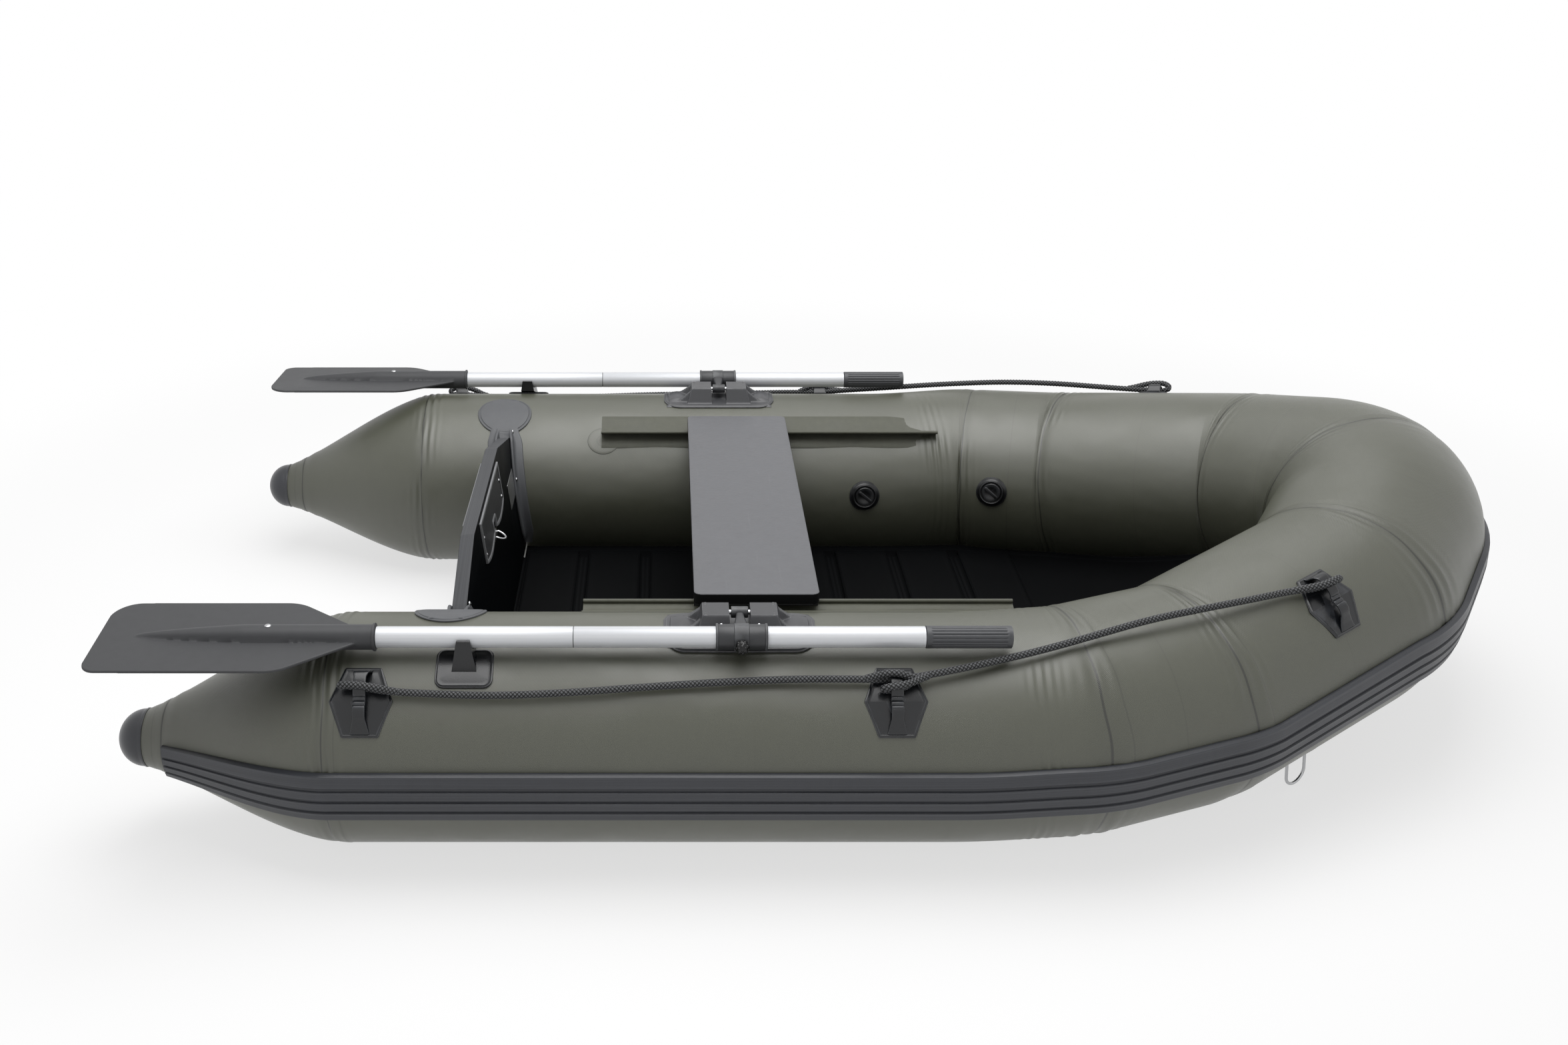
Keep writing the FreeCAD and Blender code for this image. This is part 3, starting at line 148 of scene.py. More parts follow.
def surface(name, grid, closed=True, capped=True, uv=None, marks=None, flat=False):
    """A mesh over a grid of points: each cell is a face, the last column joins the first
    where it is closed, and flat faces close both ends where it is capped. Its faces are
    turned outwards by the sign of the volume that they enclose."""
    rows, columns = grid.shape[:2]
    across = columns if closed else columns - 1
    row, column = np.meshgrid(np.arange(rows - 1), np.arange(across), indexing="ij")
    beside = (column + 1) % columns
    quads = np.stack([row * columns + column, (row + 1) * columns + column,
                      (row + 1) * columns + beside, row * columns + beside], -1).reshape(-1, 4)
    corners = [quads.ravel()]
    starts = np.arange(len(quads)) * 4
    if uv is not None:
        last = column + 1
        spread = np.stack([uv[row, column], uv[row + 1, column], uv[row + 1, last], uv[row, last]], 2)
        spread = [spread.reshape(-1, 2)]
    if capped:
        corners += [np.arange(columns), (rows - 1) * columns + np.arange(columns)[::-1]]
        starts = np.concatenate([starts, len(quads) * 4 + np.array([0, columns])])
        if uv is not None:
            spread += [uv[0, :columns], uv[-1, :columns][::-1]]
    corners = np.concatenate(corners)
    points = grid.reshape(-1, 3)
    fans = points[quads]
    volume = np.einsum("ij,ij->", fans[:, 0], np.cross(fans[:, 1], fans[:, 2]))
    volume += np.einsum("ij,ij->", fans[:, 0], np.cross(fans[:, 2], fans[:, 3]))
    if closed and not capped:
        middle = points.mean(0)
        volume = np.einsum("ij,ij->", fans[:, 0] - middle, np.cross(fans[:, 1] - middle, fans[:, 2] - middle))
    mesh = bpy.data.meshes.new(name)
    mesh.vertices.add(len(points))
    mesh.vertices.foreach_set("co", points.astype(np.float32).ravel())
    mesh.loops.add(len(corners))
    mesh.loops.foreach_set("vertex_index", corners.astype(np.int32))
    mesh.polygons.add(len(starts))
    mesh.polygons.foreach_set("loop_start", starts.astype(np.int32))
    if uv is not None:
        layer = mesh.uv_layers.new(name="cloth")
        layer.data.foreach_set("uv", np.concatenate(spread).astype(np.float32).ravel())
    for mark, values in (marks or {}).items():
        attribute = mesh.attributes.new(mark, "FLOAT", "POINT")
        attribute.data.foreach_set("value",
                                   np.broadcast_to(values, (rows, columns)).astype(np.float32).ravel())
    mesh.update(calc_edges=True)
    mesh.validate()
    if volume < 0:
        mesh.flip_normals()
    mesh.polygons.foreach_set("use_smooth", np.full(len(mesh.polygons), not flat))
    made = bpy.data.objects.new(name, mesh)
    bpy.context.scene.collection.objects.link(made)
    return made


def join(name, *parts):
    """One object from several, under the first one's mesh."""
    for chosen in bpy.context.selected_objects:
        chosen.select_set(False)
    for part in parts:
        part.select_set(True)
    bpy.context.view_layer.objects.active = parts[0]
    bpy.ops.object.join()
    parts[0].select_set(False)
    parts[0].name = name
    return parts[0]


def sharpen(made, angle=35):
    """Shade smooth, but keep the edges sharper than an angle."""
    made.data.shade_smooth()
    made.data.set_sharp_from_angle(angle=math.radians(angle))
    return made


def fit_out(made, body, slot, finish, *replaced):
    """Give a piece its body, its material and the CAD nodes it stands for. The slot is not used."""
    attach(made, body)
    made.data.materials.clear()
    made.data.materials.append(finish)
    if replaced:
        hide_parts(*replaced)
    return made


def spaces(names):
    """Sockets' names, written with underscores where they are keywords."""
    return {name.replace("_", " "): value for name, value in names.items()}


class Nodes:
    """A node tree with short ways to add nodes and link them."""

    def __init__(self, tree):
        self.tree = tree

    def add(self, kind, inputs=None, **settings):
        """A node of a kind; inputs are plain values or another node's output sockets."""
        node = self.tree.nodes.new(kind)
        for key, value in settings.items():
            setattr(node, key, value)
        for key, value in (inputs or {}).items():
            if isinstance(value, bpy.types.NodeSocket):
                self.tree.links.new(value, node.inputs[key])
            else:
                node.inputs[key].default_value = value
        return node

    def math(self, operation, first, second=0.0, clamp=False):
        return self.add("ShaderNodeMath", {0: first, 1: second}, operation=operation,
                        use_clamp=clamp).outputs[0]

    def times(self, first, second, clamp=False):
        return self.math("MULTIPLY", first, second, clamp)

    def plus(self, first, second, clamp=False):
        return self.math("ADD", first, second, clamp)

    def mix(self, share, first, second):
        """A colour between two, by a share."""
        return self.add("ShaderNodeMix", {"Factor": share, 6: first, 7: second}, data_type="RGBA").outputs[2]

    def span(self, value, low, high, to_low=0.0, to_high=1.0):
        """A value moved from one range to another, smoothly and held at its ends."""
        return self.add("ShaderNodeMapRange", {"Value": value, "From Min": low, "From Max": high,
                                               "To Min": to_low, "To Max": to_high},
                        interpolation_type="SMOOTHSTEP").outputs[0]

    def place(self, kind="Object"):
        return self.add("ShaderNodeTexCoord").outputs[kind]

    def mark(self, name):
        """A value stored on the mesh's points."""
        return self.add("ShaderNodeAttribute", attribute_name=name).outputs["Fac"]

    def noise(self, vector, scale, detail=3.0, roughness=0.55):
        return self.add("ShaderNodeTexNoise", {"Vector": vector, "Scale": scale, "Detail": detail,
                                               "Roughness": roughness}).outputs["Fac"]

    def stretch(self, vector, scale=(1, 1, 1), turn=(0, 0, 0)):
        return self.add("ShaderNodeMapping", {"Vector": vector, "Scale": scale, "Rotation": turn}).outputs[0]

    def bump(self, height, distance, strength=1.0, normal=None):
        """A Bump node whose height is in units of the distance, in metres."""
        inputs = {"Height": height, "Distance": distance, "Strength": strength}
        if normal is not None:
            inputs["Normal"] = normal
        return self.add("ShaderNodeBump", inputs).outputs[0]

    def effect(self, tree, **inputs):
        """A shared effect, with this material's own values on its inputs."""
        return self.add("ShaderNodeGroup", spaces(inputs), node_tree=tree).outputs


class Shader(Nodes):
    """A new material's nodes, with set values on its Principled shader."""

    def __init__(self, name, **values):
        self.material = bpy.data.materials.new(name)
        self.material.use_nodes = True
        super().__init__(self.material.node_tree)
        self.principled = self.tree.nodes["Principled BSDF"]
        for name, value in spaces(values).items():
            self.principled.inputs[name].default_value = value

    def grain(self, colour, size, tone, roughness, gloss):
        """The shared moulded grain over one base colour."""
        return self.effect(GRAIN, Vector=self.place(), Grain_Size=size, Colour=(*colour, 1), Tone_Change=tone,
                           Roughness=roughness, Gloss_Change=gloss)

    def use(self, **sockets):
        """Link outputs to the Principled shader's inputs."""
        for name, socket in spaces(sockets).items():
            self.tree.links.new(socket, self.principled.inputs[name])
        return self.material


class Effect(Nodes):
    """A shader node group with named inputs and outputs."""

    def __init__(self, name, inputs, outputs):
        super().__init__(bpy.data.node_groups.new(name, "ShaderNodeTree"))
        for socket, (kind, value) in inputs.items():
            made = self.tree.interface.new_socket(socket, in_out="INPUT", socket_type="NodeSocket" + kind)
            if value is not None:
                made.default_value = value
        for socket, kind in outputs.items():
            self.tree.interface.new_socket(socket, in_out="OUTPUT", socket_type="NodeSocket" + kind)
        self.inputs = self.tree.nodes.new("NodeGroupInput").outputs
        self.ends = self.tree.nodes.new("NodeGroupOutput").inputs

    def give(self, **sockets):
        """Link results to the group's outputs."""
        for name, socket in spaces(sockets).items():
            self.tree.links.new(socket, self.ends[name])
        return self.tree


def build_grain():
    """Moulded grain and handling marks: fine noise for the height, broad noise for the tone."""
    effect = Effect("moulded_grain", {"Vector": ("Vector", None), "Grain Size": ("Float", 900.0),
                                      "Colour": ("Color", (0.1, 0.1, 0.1, 1)), "Tone Change": ("Float", 0.2),
                                      "Roughness": ("Float", 0.5), "Gloss Change": ("Float", 0.12)},
                    {"Colour": "Color", "Roughness": "Float", "Height": "Float"})
    given = effect.inputs
    fine = effect.noise(given["Vector"], given["Grain Size"], 2.0)
    broad = effect.noise(given["Vector"], 14.0, 4.0)
    streaks = effect.noise(effect.stretch(given["Vector"], (1.0, 1.0, 0.25)), 70.0, 3.0)
    tone = effect.times(effect.math("SUBTRACT", effect.plus(broad, streaks), 1.0),
                       given["Tone Change"])
    shade = effect.add("ShaderNodeHueSaturation", {"Color": given["Colour"],
                                                   "Value": effect.plus(tone, 1.0)}).outputs[0]
    gloss = effect.times(effect.math("SUBTRACT", broad, 0.5), given["Gloss Change"])
    return effect.give(Colour=shade, Roughness=effect.plus(given["Roughness"], gloss, True), Height=fine)


GRAIN = build_grain()


def moulded(name, colour, roughness=0.45, grain_size=900.0, relief=0.00012, tone=0.25, gloss=0.15, **values):
    """A moulded rubber or plastic finish: the shared grain over one base colour."""
    shader = Shader(name, **values)
    grain = shader.grain(colour, grain_size, tone, roughness, gloss)
    return shader.use(Base_Color=grain["Colour"], Roughness=grain["Roughness"],
                      Normal=shader.bump(grain["Height"], relief))


def rope_material():
    """Black polypropylene braid: the yarns' crowns are painted paler as the light they catch, and the gaps
    between them near-black as shade; the crowns are also shinier.
    """
    shader = Shader("braided_rope", Specular_IOR_Level=0.35)
    crown = shader.mark("crown")
    yarns = shader.noise(shader.stretch(shader.place("UV"), (300, 4000, 1)), 1.0, 2.0)
    # Painted light and shade on the braid: crowns paler, the gaps between the yarns near-black.
    tone = shader.times(shader.span(crown, 0.45, 1.0), shader.plus(yarns, 0.4), True)
    colour = shader.mix(tone, (0.0008, 0.0009, 0.0010, 1), (0.125, 0.129, 0.135, 1))
    return shader.use(Base_Color=colour, Roughness=shader.span(crown, 0.0, 1.0, 0.8, 0.36),
                      Normal=shader.bump(yarns, 0.0004, 0.6))


def carried_frames(line, towards):
    """Along a line: its directions, and two directions across it, the first one nearest to a given way."""
    way = unit(np.gradient(line, axis=0))
    across = unit(towards - (way * towards).sum(-1, keepdims=True) * way)
    return way, across, np.cross(way, across)


def run_of(line):
    """The distance along a line of points up to each of them."""
    return np.concatenate([[0], np.cumsum(np.linalg.norm(np.diff(line, axis=0), axis=1))])


def spaced(line, step):
    """A line's points moved to even steps along its length, and the distances there."""
    run = run_of(line)
    distance = np.linspace(0, run[-1], max(2, int(round(run[-1] / step)) + 1))
    return np.stack([np.interp(distance, run, line[:, axis]) for axis in range(3)], -1), distance


def braided(name, line, radius, step=0.0009, around=40):
    """A braided rope along a line. Two families of strands run round the rope, one each way, and a
    checkerboard of their phases says which lies on top; each strand's crown is a ridge across the
    strand that also dips where the strand dives under the next one."""
    points, distance = spaced(line, step)
    _, across, beside = carried_frames(points, as_points((0.0, 0.35, 1.0)))
    angle = full_turn(around)
    along = distance[:, None] / crown_length * np.pi
    right = np.sin(braid_columns / 4 * angle + along)
    left = np.sin(braid_columns / 4 * angle - along)
    over = np.where(right * left > 0, right, left)
    under = np.where(right * left > 0, left, right)
    ridge = np.abs(over) ** 0.6 * (0.45 + 0.55 * np.abs(under) ** 0.5)
    ends = held(np.minimum(distance, distance[-1] - distance) / radius + 0.15)[:, None] ** 0.5
    size = radius * (1 - braid_relief + braid_relief * ridge) * ends
    grid = points[:, None] + size[..., None] * wheel(across[:, None], beside[:, None], angle)
    return surface(name, grid, uv=crossed(distance, np.linspace(0, 2 * np.pi * radius, around + 1)),
                   marks={"crown": ridge})


def curve_line(name, route):
    """The points of one smooth NURBS spline whose control points are the route."""
    curve = bpy.data.curves.new(name, "CURVE")
    curve.dimensions = "3D"
    curve.resolution_u = 24
    spline = curve.splines.new("NURBS")
    spline.points.add(len(route) - 1)
    spline.points.foreach_set("co", np.c_[route, np.ones(len(route))].ravel())
    spline.order_u = 3
    spline.use_endpoint_u = True
    carrier = bpy.data.objects.new(name, curve)
    mesh = bpy.data.meshes.new_from_object(carrier)
    line = np.empty(len(mesh.vertices) * 3)
    mesh.vertices.foreach_get("co", line)
    bpy.data.meshes.remove(mesh)
    bpy.data.objects.remove(carrier)
    bpy.data.curves.remove(curve)
    return line.reshape(-1, 3)


ROPE = rope_material()
for side, sign in SIDES.items():
    rope_line = curve_line("lifeline_route", as_points(rope_route) * (1, sign, 1))
    rope = braided("lifeline_" + side + "_braid", rope_line, rope_radius)
    fit_out(rope, "hull", "rope", ROPE, "lifeline_" + side)
    turns = []
    for where, route in rope_turns.items():
        turn_line = curve_line("turn_route", as_points(route) * (1, sign, 1))
        turns.append(braided("rope_turn_%s_%s" % (where, side), turn_line, rope_radius))
        fit_out(turns[-1], "hull", "rope", ROPE)

# Buoyancy tubes: two side chambers and one bow chamber of olive PVC-coated polyester cloth. They
# are cut as flat panels and glued with lapped seams, which pucker a little once blown up.
side_low, side_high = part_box("tube_starboard")
tube_radius = (side_high.y - side_low.y) / 2
half_beam = -(side_low.y + side_high.y) / 2
stern_x = side_low.x
quarter_x = 0.329
corner_steps = {"sheer": (-0.154, 1.0, 0.0), "quarter": (0.0, 1.0, 0.011), "shoulder": (0.195, 0.8824, 0.024),
                "cheek": (0.520, 0.5078, 0.091), "stem": (0.697, 0.0, 0.168)}
corner_bends = {"sheer": 1.2, "quarter": 0.19, "shoulder": 0.19, "cheek": 0.19, "stem": 0.205}
chamber_back = 0.064
tube_columns = 128
row_step, seam_step, seam_reach = 0.014, 0.0022, 0.045
UP = as_points((0, 0, 1))
MIRROR = as_points((1, -1, 1))

starboard_corners = [as_points((stern_x, -half_beam, tube_radius))]
starboard_corners += [as_points((quarter_x + run, -half_beam * share, tube_radius + rise))
                      for run, share, rise in corner_steps.values()]
tube_corners = as_points(starboard_corners + [corner * MIRROR for corner in starboard_corners[-2::-1]])
tube_bends = as_points(list(corner_bends.values()) + list(corner_bends.values())[-2::-1])
tube_runs = np.diff(tube_corners, axis=0)
tube_ways = unit(tube_runs)
half_turns = np.arccos(np.clip((tube_ways[:-1] * tube_ways[1:]).sum(1), -1, 1)) / 2
bend_reach = tube_bends * np.tan(half_turns)
straight = np.linalg.norm(tube_runs, axis=1) - np.append(bend_reach, 0) - np.append(0, bend_reach)
arc_lengths = tube_bends * 2 * half_turns
bend_starts = np.cumsum(straight[:-1]) + np.append(0, np.cumsum(arc_lengths)[:-1])
tube_length = straight.sum() + arc_lengths.sum()
corner_at = dict(zip(corner_bends, (bend_starts + arc_lengths / 2)[:5]))
chamber_at = corner_at["quarter"] - chamber_back


def tube_line(distance):
    """The tubes' centre and direction at distances from the starboard stern: straight runs joined
    by tangent arcs, each arc turning from one run's direction to the next one's."""
    distance = np.atleast_1d(as_points(distance))
    centre = tube_corners[0] + distance[:, None] * tube_ways[0]
    way = np.repeat(tube_ways[:1], len(distance), 0)
    for number, start in enumerate(bend_starts):
        bend, before, after = tube_bends[number], tube_ways[number], tube_ways[number + 1]
        side = unit(after - before * (before @ after))
        turn = np.clip((distance - start) / bend, 0, 2 * half_turns[number])[:, None]
        into = tube_corners[number + 1] - before * bend_reach[number]
        past = np.clip(distance - start - arc_lengths[number], 0, None)[:, None]
        bent = into + bend * (np.sin(turn) * before + (1 - np.cos(turn)) * side)
        turned = np.cos(turn) * before + np.sin(turn) * side
        on = (distance > start)[:, None]
        centre = np.where(on, bent + past * turned, centre)
        way = np.where(on, turned, way)
    return centre, way


def tube_axes(way):
    """Outboard and upward directions across the tube."""
    outboard = unit(np.cross(way, UP))
    return outboard, np.cross(outboard, way)


def on_tube(distance, angle, height=0.0):
    """Points at a height over the tube's skin; the angle turns upwards from outboard."""
    centre, way = tube_line(distance)
    outboard, upward = tube_axes(way)
    reach = (tube_radius + np.broadcast_to(height, (len(centre), len(angle))))[..., None]
    return centre[:, None] + reach * wheel(outboard[:, None], upward[:, None], angle)


# Each seam: its distance along the tubes, the pucker's height, and whether the lap's edge shows.
far_shift = 0.030
seams = [(0.0, 0.0013, 1), (chamber_at, 0.0008, 0)]
seams += [(corner_at[name], puckers, 1) for name, puckers in (("quarter", 0.0011), ("shoulder", 0.0012),
                                                              ("cheek", 0.0009), ("stem", 0.0009))]
seams += [(tube_length - corner_at[name] - far_shift, puckers, 1)
          for name, puckers in (("cheek", 0.0010), ("shoulder", 0.0012), ("quarter", 0.0014))]
seams += [(tube_length - chamber_at, 0.0009, 0), (tube_length, 0.0013, 1)]
lap_width, lap_thick, lap_ramp, pucker_wave, pucker_width = 0.018, 0.0006, 0.0016, 0.014, 0.024


def seam_relief(distance, angle):
    """The skin's height near the seams: a lap one cloth thick beside each seam line, and ripples
    along it that fade with distance and come and go round the tube. Also gives the signed
    distance to the nearest seam that shows an edge."""
    distance, angle = np.broadcast_arrays(distance[:, None], angle[None])
    height = np.zeros(distance.shape)
    nearest = np.full(distance.shape, 0.5)
    for number, (place, puckers, edged) in enumerate(seams):
        gap = (distance - place - 0.0012 * np.sin(3 * angle + number)
               - 0.0006 * np.sin(11 * angle + 2 * number))
        lap = held(gap / lap_ramp) * held((lap_width - gap) / lap_ramp)
        come_and_go = np.clip(0.45 + 0.5 * np.sin(2 * angle + 1.7 * number)
                              + 0.4 * np.sin(7 * angle + number), 0, 1.2)
        ripple = np.cos(2 * np.pi * gap / pucker_wave + 1.5 * np.sin(2 * angle + number))
        height += lap * lap_thick * edged + puckers * come_and_go * ripple * np.exp(-(gap / pucker_width) ** 2)
        height -= 0.0012 * np.exp(-(gap / 0.010) ** 2) * edged
        if edged:
            nearest = np.where(np.abs(gap) < np.abs(nearest), gap, nearest)
    return height, nearest


def seam_rows(start, end):
    """Distances for the rows of a chamber, closer together near its seams."""
    rows = [np.linspace(start, end, int((end - start) / row_step))]
    rows += [place + np.arange(-seam_reach, seam_reach, seam_step) for place, _, _ in seams]
    rows = np.unique(np.concatenate(rows).round(5))
    rows = rows[(rows > start + 0.0005) & (rows < end - 0.0005)]
    return np.concatenate([[start], rows, [end]])


def build_weave():
    """The scrim inside the coating: threads both ways show as a fine grid of dots."""
    effect = Effect("scrim_weave", {"Vector": ("Vector", None), "Pitch": ("Float", 0.0024)},
                    {"Height": "Float"})
    given = effect.inputs
    turns = effect.math("DIVIDE", 2 * math.pi, given["Pitch"])
    threads = effect.add("ShaderNodeVectorMath", {0: given["Vector"], "Scale": turns},
                         operation="SCALE").outputs[0]
    parts = effect.add("ShaderNodeSeparateXYZ", {0: threads}).outputs
    dots = effect.times(effect.math("SINE", parts[0]), effect.math("SINE", parts[1]))
    return effect.give(Height=dots)


WEAVE = build_weave()


def coated_cloth(name, colour, roughness=0.35, weave=0.00013, seam_dark=0.75, seam_tone=0.12, specular=0.75):
    """PVC-coated cloth: the scrim shows in the highlights, the tone drifts from panel to panel,
    handling leaves the gloss uneven, and a thin dark line of glue runs along each lapped seam."""
    shader = Shader(name, Specular_IOR_Level=specular)
    cloth = shader.place("UV")
    spot = shader.place()
    dots = shader.effect(WEAVE, Vector=cloth)["Height"]
    grain = shader.grain(colour, 500.0, 0.10, roughness, 0.16)
    gap = shader.math("ABSOLUTE", shader.mark("seam"))
    line = shader.span(gap, 0.0005, 0.0016, 1.0, 0.0)
    lap_edge = shader.span(shader.math("ABSOLUTE", shader.math("SUBTRACT", shader.mark("seam"), lap_width)),
                           0.0003, 0.0012, 0.35, 0.0)
    halo = shader.span(gap, 0.0, 0.03, 0.10, 0.0)
    dark = shader.plus(shader.times(shader.math("MAXIMUM", line, lap_edge), seam_dark), halo, True)
    tone = shader.mix(dark, grain["Colour"], tuple(part * seam_tone for part in colour) + (1,))
    sag = shader.noise(shader.stretch(spot, (1, 1, 1.6)), 7.0, 2.0)
    broad = shader.bump(sag, 0.004, 0.55)
    weave_patch = shader.span(shader.noise(spot, 5.0, 2.0), 0.35, 0.62, 0.45, 1.0)
    fine = shader.bump(shader.times(dots, weave_patch), weave, 1.0, broad)
    return shader.use(Base_Color=tone, Roughness=grain["Roughness"], Normal=fine)


OLIVE_CLOTH = coated_cloth("olive_coated_cloth", (0.074, 0.077, 0.056))
ring_angles = full_turn(tube_columns)
ring_lengths = np.linspace(0, 2 * np.pi * tube_radius, tube_columns + 1)


def chamber(name, node, start, end):
    """One buoyancy chamber from a start to an end distance."""
    distance = seam_rows(start, end)
    relief, nearest = seam_relief(distance, ring_angles)
    made = surface(name, on_tube(distance, ring_angles, relief), uv=crossed(distance, ring_lengths),
                   marks={"seam": nearest})
    fit_out(sharpen(made, 50), "hull", "tube_fabric", OLIVE_CLOTH, node)


chamber("side_chamber_starboard", "tube_starboard", 0.0, chamber_at)
chamber("bow_chamber", "tube_bow", chamber_at, tube_length - chamber_at)
chamber("side_chamber_port", "tube_port", tube_length - chamber_at, tube_length)

# Stern cones: cut as gores from the same cloth and glued to the tubes' ends, slightly full at the
# shoulder. A narrow band of cloth closes each cone just ahead of its rubber end cap.
cone_length = 0.311
cone_end_radius = 0.045
cone_drop = 0.021
cone_swell_at = as_points((0, 0.040, cone_length / 2, cone_length))
cone_swell = np.polyfit(cone_swell_at, (0, 0.008, 0.008, 0), 3)
cone_band = 0.036


def on_cone(run, angle, height=0.0):
    """Points over the starboard cone's skin at distances aft of the tube's end."""
    run = np.atleast_1d(as_points(run))
    share = run / cone_length
    centre = tube_corners[0] + share[:, None] * as_points((-cone_length, 0, -cone_drop))
    reach = tube_radius + (cone_end_radius - tube_radius) * share + np.polyval(cone_swell, run)
    reach = (reach[:, None] + np.broadcast_to(height, (len(run), len(angle))))[..., None]
    return centre[:, None] + reach * wheel(as_points((0, -1, 0)), UP, angle)


cone_rows = np.unique(np.concatenate([np.arange(0, seam_reach, seam_step),
                                      np.linspace(seam_reach, cone_length, 26),
                                      cone_length - cone_band + np.arange(-0.008, 0.009, 0.0016)]).round(5))
joint_height, joint_gap = seam_relief(-cone_rows, ring_angles)
band_gap = (cone_rows - (cone_length - cone_band))[:, None] + 0.0006 * np.sin(3 * ring_angles)[None]
band_lap = 0.0009 * held(band_gap / 0.0012)
band_soft = (0.0010 * np.exp(-((band_gap + 0.016) / 0.007) ** 2)
             - 0.0008 * np.exp(-((band_gap - 0.014) / 0.004) ** 2))
cone_height = joint_height + band_lap + band_soft
cone_gap = np.where(np.abs(band_gap) < np.abs(joint_gap), band_gap, joint_gap)
for side, sign in SIDES.items():
    grid = on_cone(cone_rows, ring_angles, cone_height) * (1, -sign, 1)
    cone = surface("stern_cone_" + side, grid, uv=crossed(-cone_rows, ring_lengths), marks={"seam": cone_gap})
    fit_out(sharpen(cone, 50), "hull", "tube_fabric", OLIVE_CLOTH, "cone_" + side)

# End caps: one moulded blue-black rubber cup, glued over the end of each cone, where a boat
# drags and knocks.
cap_length, cap_lip, cap_lip_long, cap_radius = 0.047, 0.0016, 0.005, cone_end_radius + 0.0006
cap_profile = [(0.0, cone_end_radius - 0.001), (0.0, cone_end_radius + cap_lip),
               (0.0025, cone_end_radius + cap_lip + 0.0004), (cap_lip_long, cap_radius)]
cap_profile += [(cap_lip_long + (cap_length - cap_lip_long) * math.sin(turn), cap_radius * math.cos(turn))
                for turn in np.linspace(0, np.pi / 2, 26)[1:-1]] + [(cap_length, 0.0004)]


def turned(name, profile, origin, way=(1, 0, 0), columns=48, ridge=None, **settings):
    """A piece turned on a lathe: a profile of runs and radii carried round an axis from its origin.
    A ridge function of the angle may scale the radius."""
    profile = as_points(profile)
    way = unit(as_points(way))
    first = unit(np.cross(way, (0.0, 0.0, 1.0) if abs(way[2]) < 0.9 else (0.0, 1.0, 0.0)))
    second = np.cross(way, first)
    angle = full_turn(columns)
    reach = profile[:, 1:] * (1 if ridge is None else ridge(angle, profile[:, :1]))
    reach = np.broadcast_to(reach, (len(profile), columns))[..., None]
    return surface(name, as_points(origin) + profile[:, None, :1] * way + reach * wheel(first, second, angle),
                   **settings)


CAP_RUBBER = moulded("cap_rubber", (0.032, 0.034, 0.040), 0.34, 700.0, 0.00016)
cap_centre = tube_corners[0] + as_points((-cone_length, 0, -cone_drop))
for side, sign in SIDES.items():
    cap = turned("end_cap_rubber_" + side, cap_profile, cap_centre * (1, -sign, 1), (-1, 0, 0), 64)
    fit_out(sharpen(cap, 40), "hull", "moulded_rubber", CAP_RUBBER, "end_cap_" + side)

# Rub strake: one extruded rubber band with a flat top strip and three ribs, glued all round the
# tubes at their widest and run out over the cones, where it narrows and ends in a square cut.
strake_top, strake_bottom = 9.5, -16.0
strake_band, strake_groove, strake_ribs = 7.5, 1.2, 3
strake_base, strake_rise, strake_groove_floor = 0.0050, 0.0045, 0.0066
strake_tail, strake_tail_height = 0.272, 0.054
strake_height = tube_radius * math.radians(strake_top - strake_bottom)


def strake_profile():
    """Angles and heights from the band's top edge to its bottom: each rib is a rounded block whose
    upper corner is a little prouder, and thin flanges feather both edges."""
    rib = (strake_top - strake_band - strake_bottom - strake_groove * strake_ribs) / strake_ribs
    tops = [strake_top - 0.5] + [strake_top - strake_band - strake_groove - number * (rib + strake_groove)
                                 for number in range(strake_ribs)]
    widths = [strake_band - 0.5] + [rib] * strake_ribs
    across = np.linspace(0, 1, 13)
    block = (1 - np.abs(2 * across - 1) ** 7) ** 0.5
    lip = 0.0009 * np.exp(-((across - 0.1) / 0.09) ** 2) + 0.0004 * np.exp(-((across - 0.9) / 0.08) ** 2)
    crown = strake_base + strake_rise - strake_groove_floor - 0.0004
    angles = [np.full(2, strake_top)]
    heights = [as_points((0.0004, 0.0022))]
    for top, width in zip(tops, widths):
        angles.append(top - width * across)
        heights.append(strake_groove_floor + crown * block + lip * block)
    angles.append(np.full(2, strake_bottom - 0.3))
    heights.append(as_points((0.0022, 0.0004)))
    return np.radians(np.concatenate(angles)), np.concatenate(heights)


strake_angles, strake_heights = strake_profile()
tail_rows = np.linspace(strake_tail, 0.006, 46)
tail_share = tail_rows / strake_tail
tail_radius = tube_radius + (cone_end_radius - tube_radius) * tail_rows / cone_length
tail_spread = ((strake_height + (strake_tail_height - strake_height) * tail_share) / strake_height
               * tube_radius / tail_radius)
tail = np.concatenate([on_cone(row, strake_angles * spread, strake_heights)
                       for row, spread in zip(tail_rows, tail_spread)])
strake_rows = np.unique(np.concatenate([np.linspace(0, tube_length, 220)]
                                       + [start + np.linspace(-0.02, length + 0.02, 24)
                                          for start, length in zip(bend_starts, arc_lengths)]).round(4))
belt = on_tube(strake_rows, strake_angles, strake_heights)
belt[..., 0] -= 0.0032 * held((belt[..., 0] - 1.06) / 0.10) ** 2  # pressed in at the stem
strake_grid = np.concatenate([tail, belt, (tail * MIRROR)[::-1]])
strake_run = run_of(strake_grid[:, 0])
strake_across = np.concatenate([np.linspace(0, strake_height, len(strake_angles)), [strake_height]])
strake_uv = crossed(strake_run, strake_across)


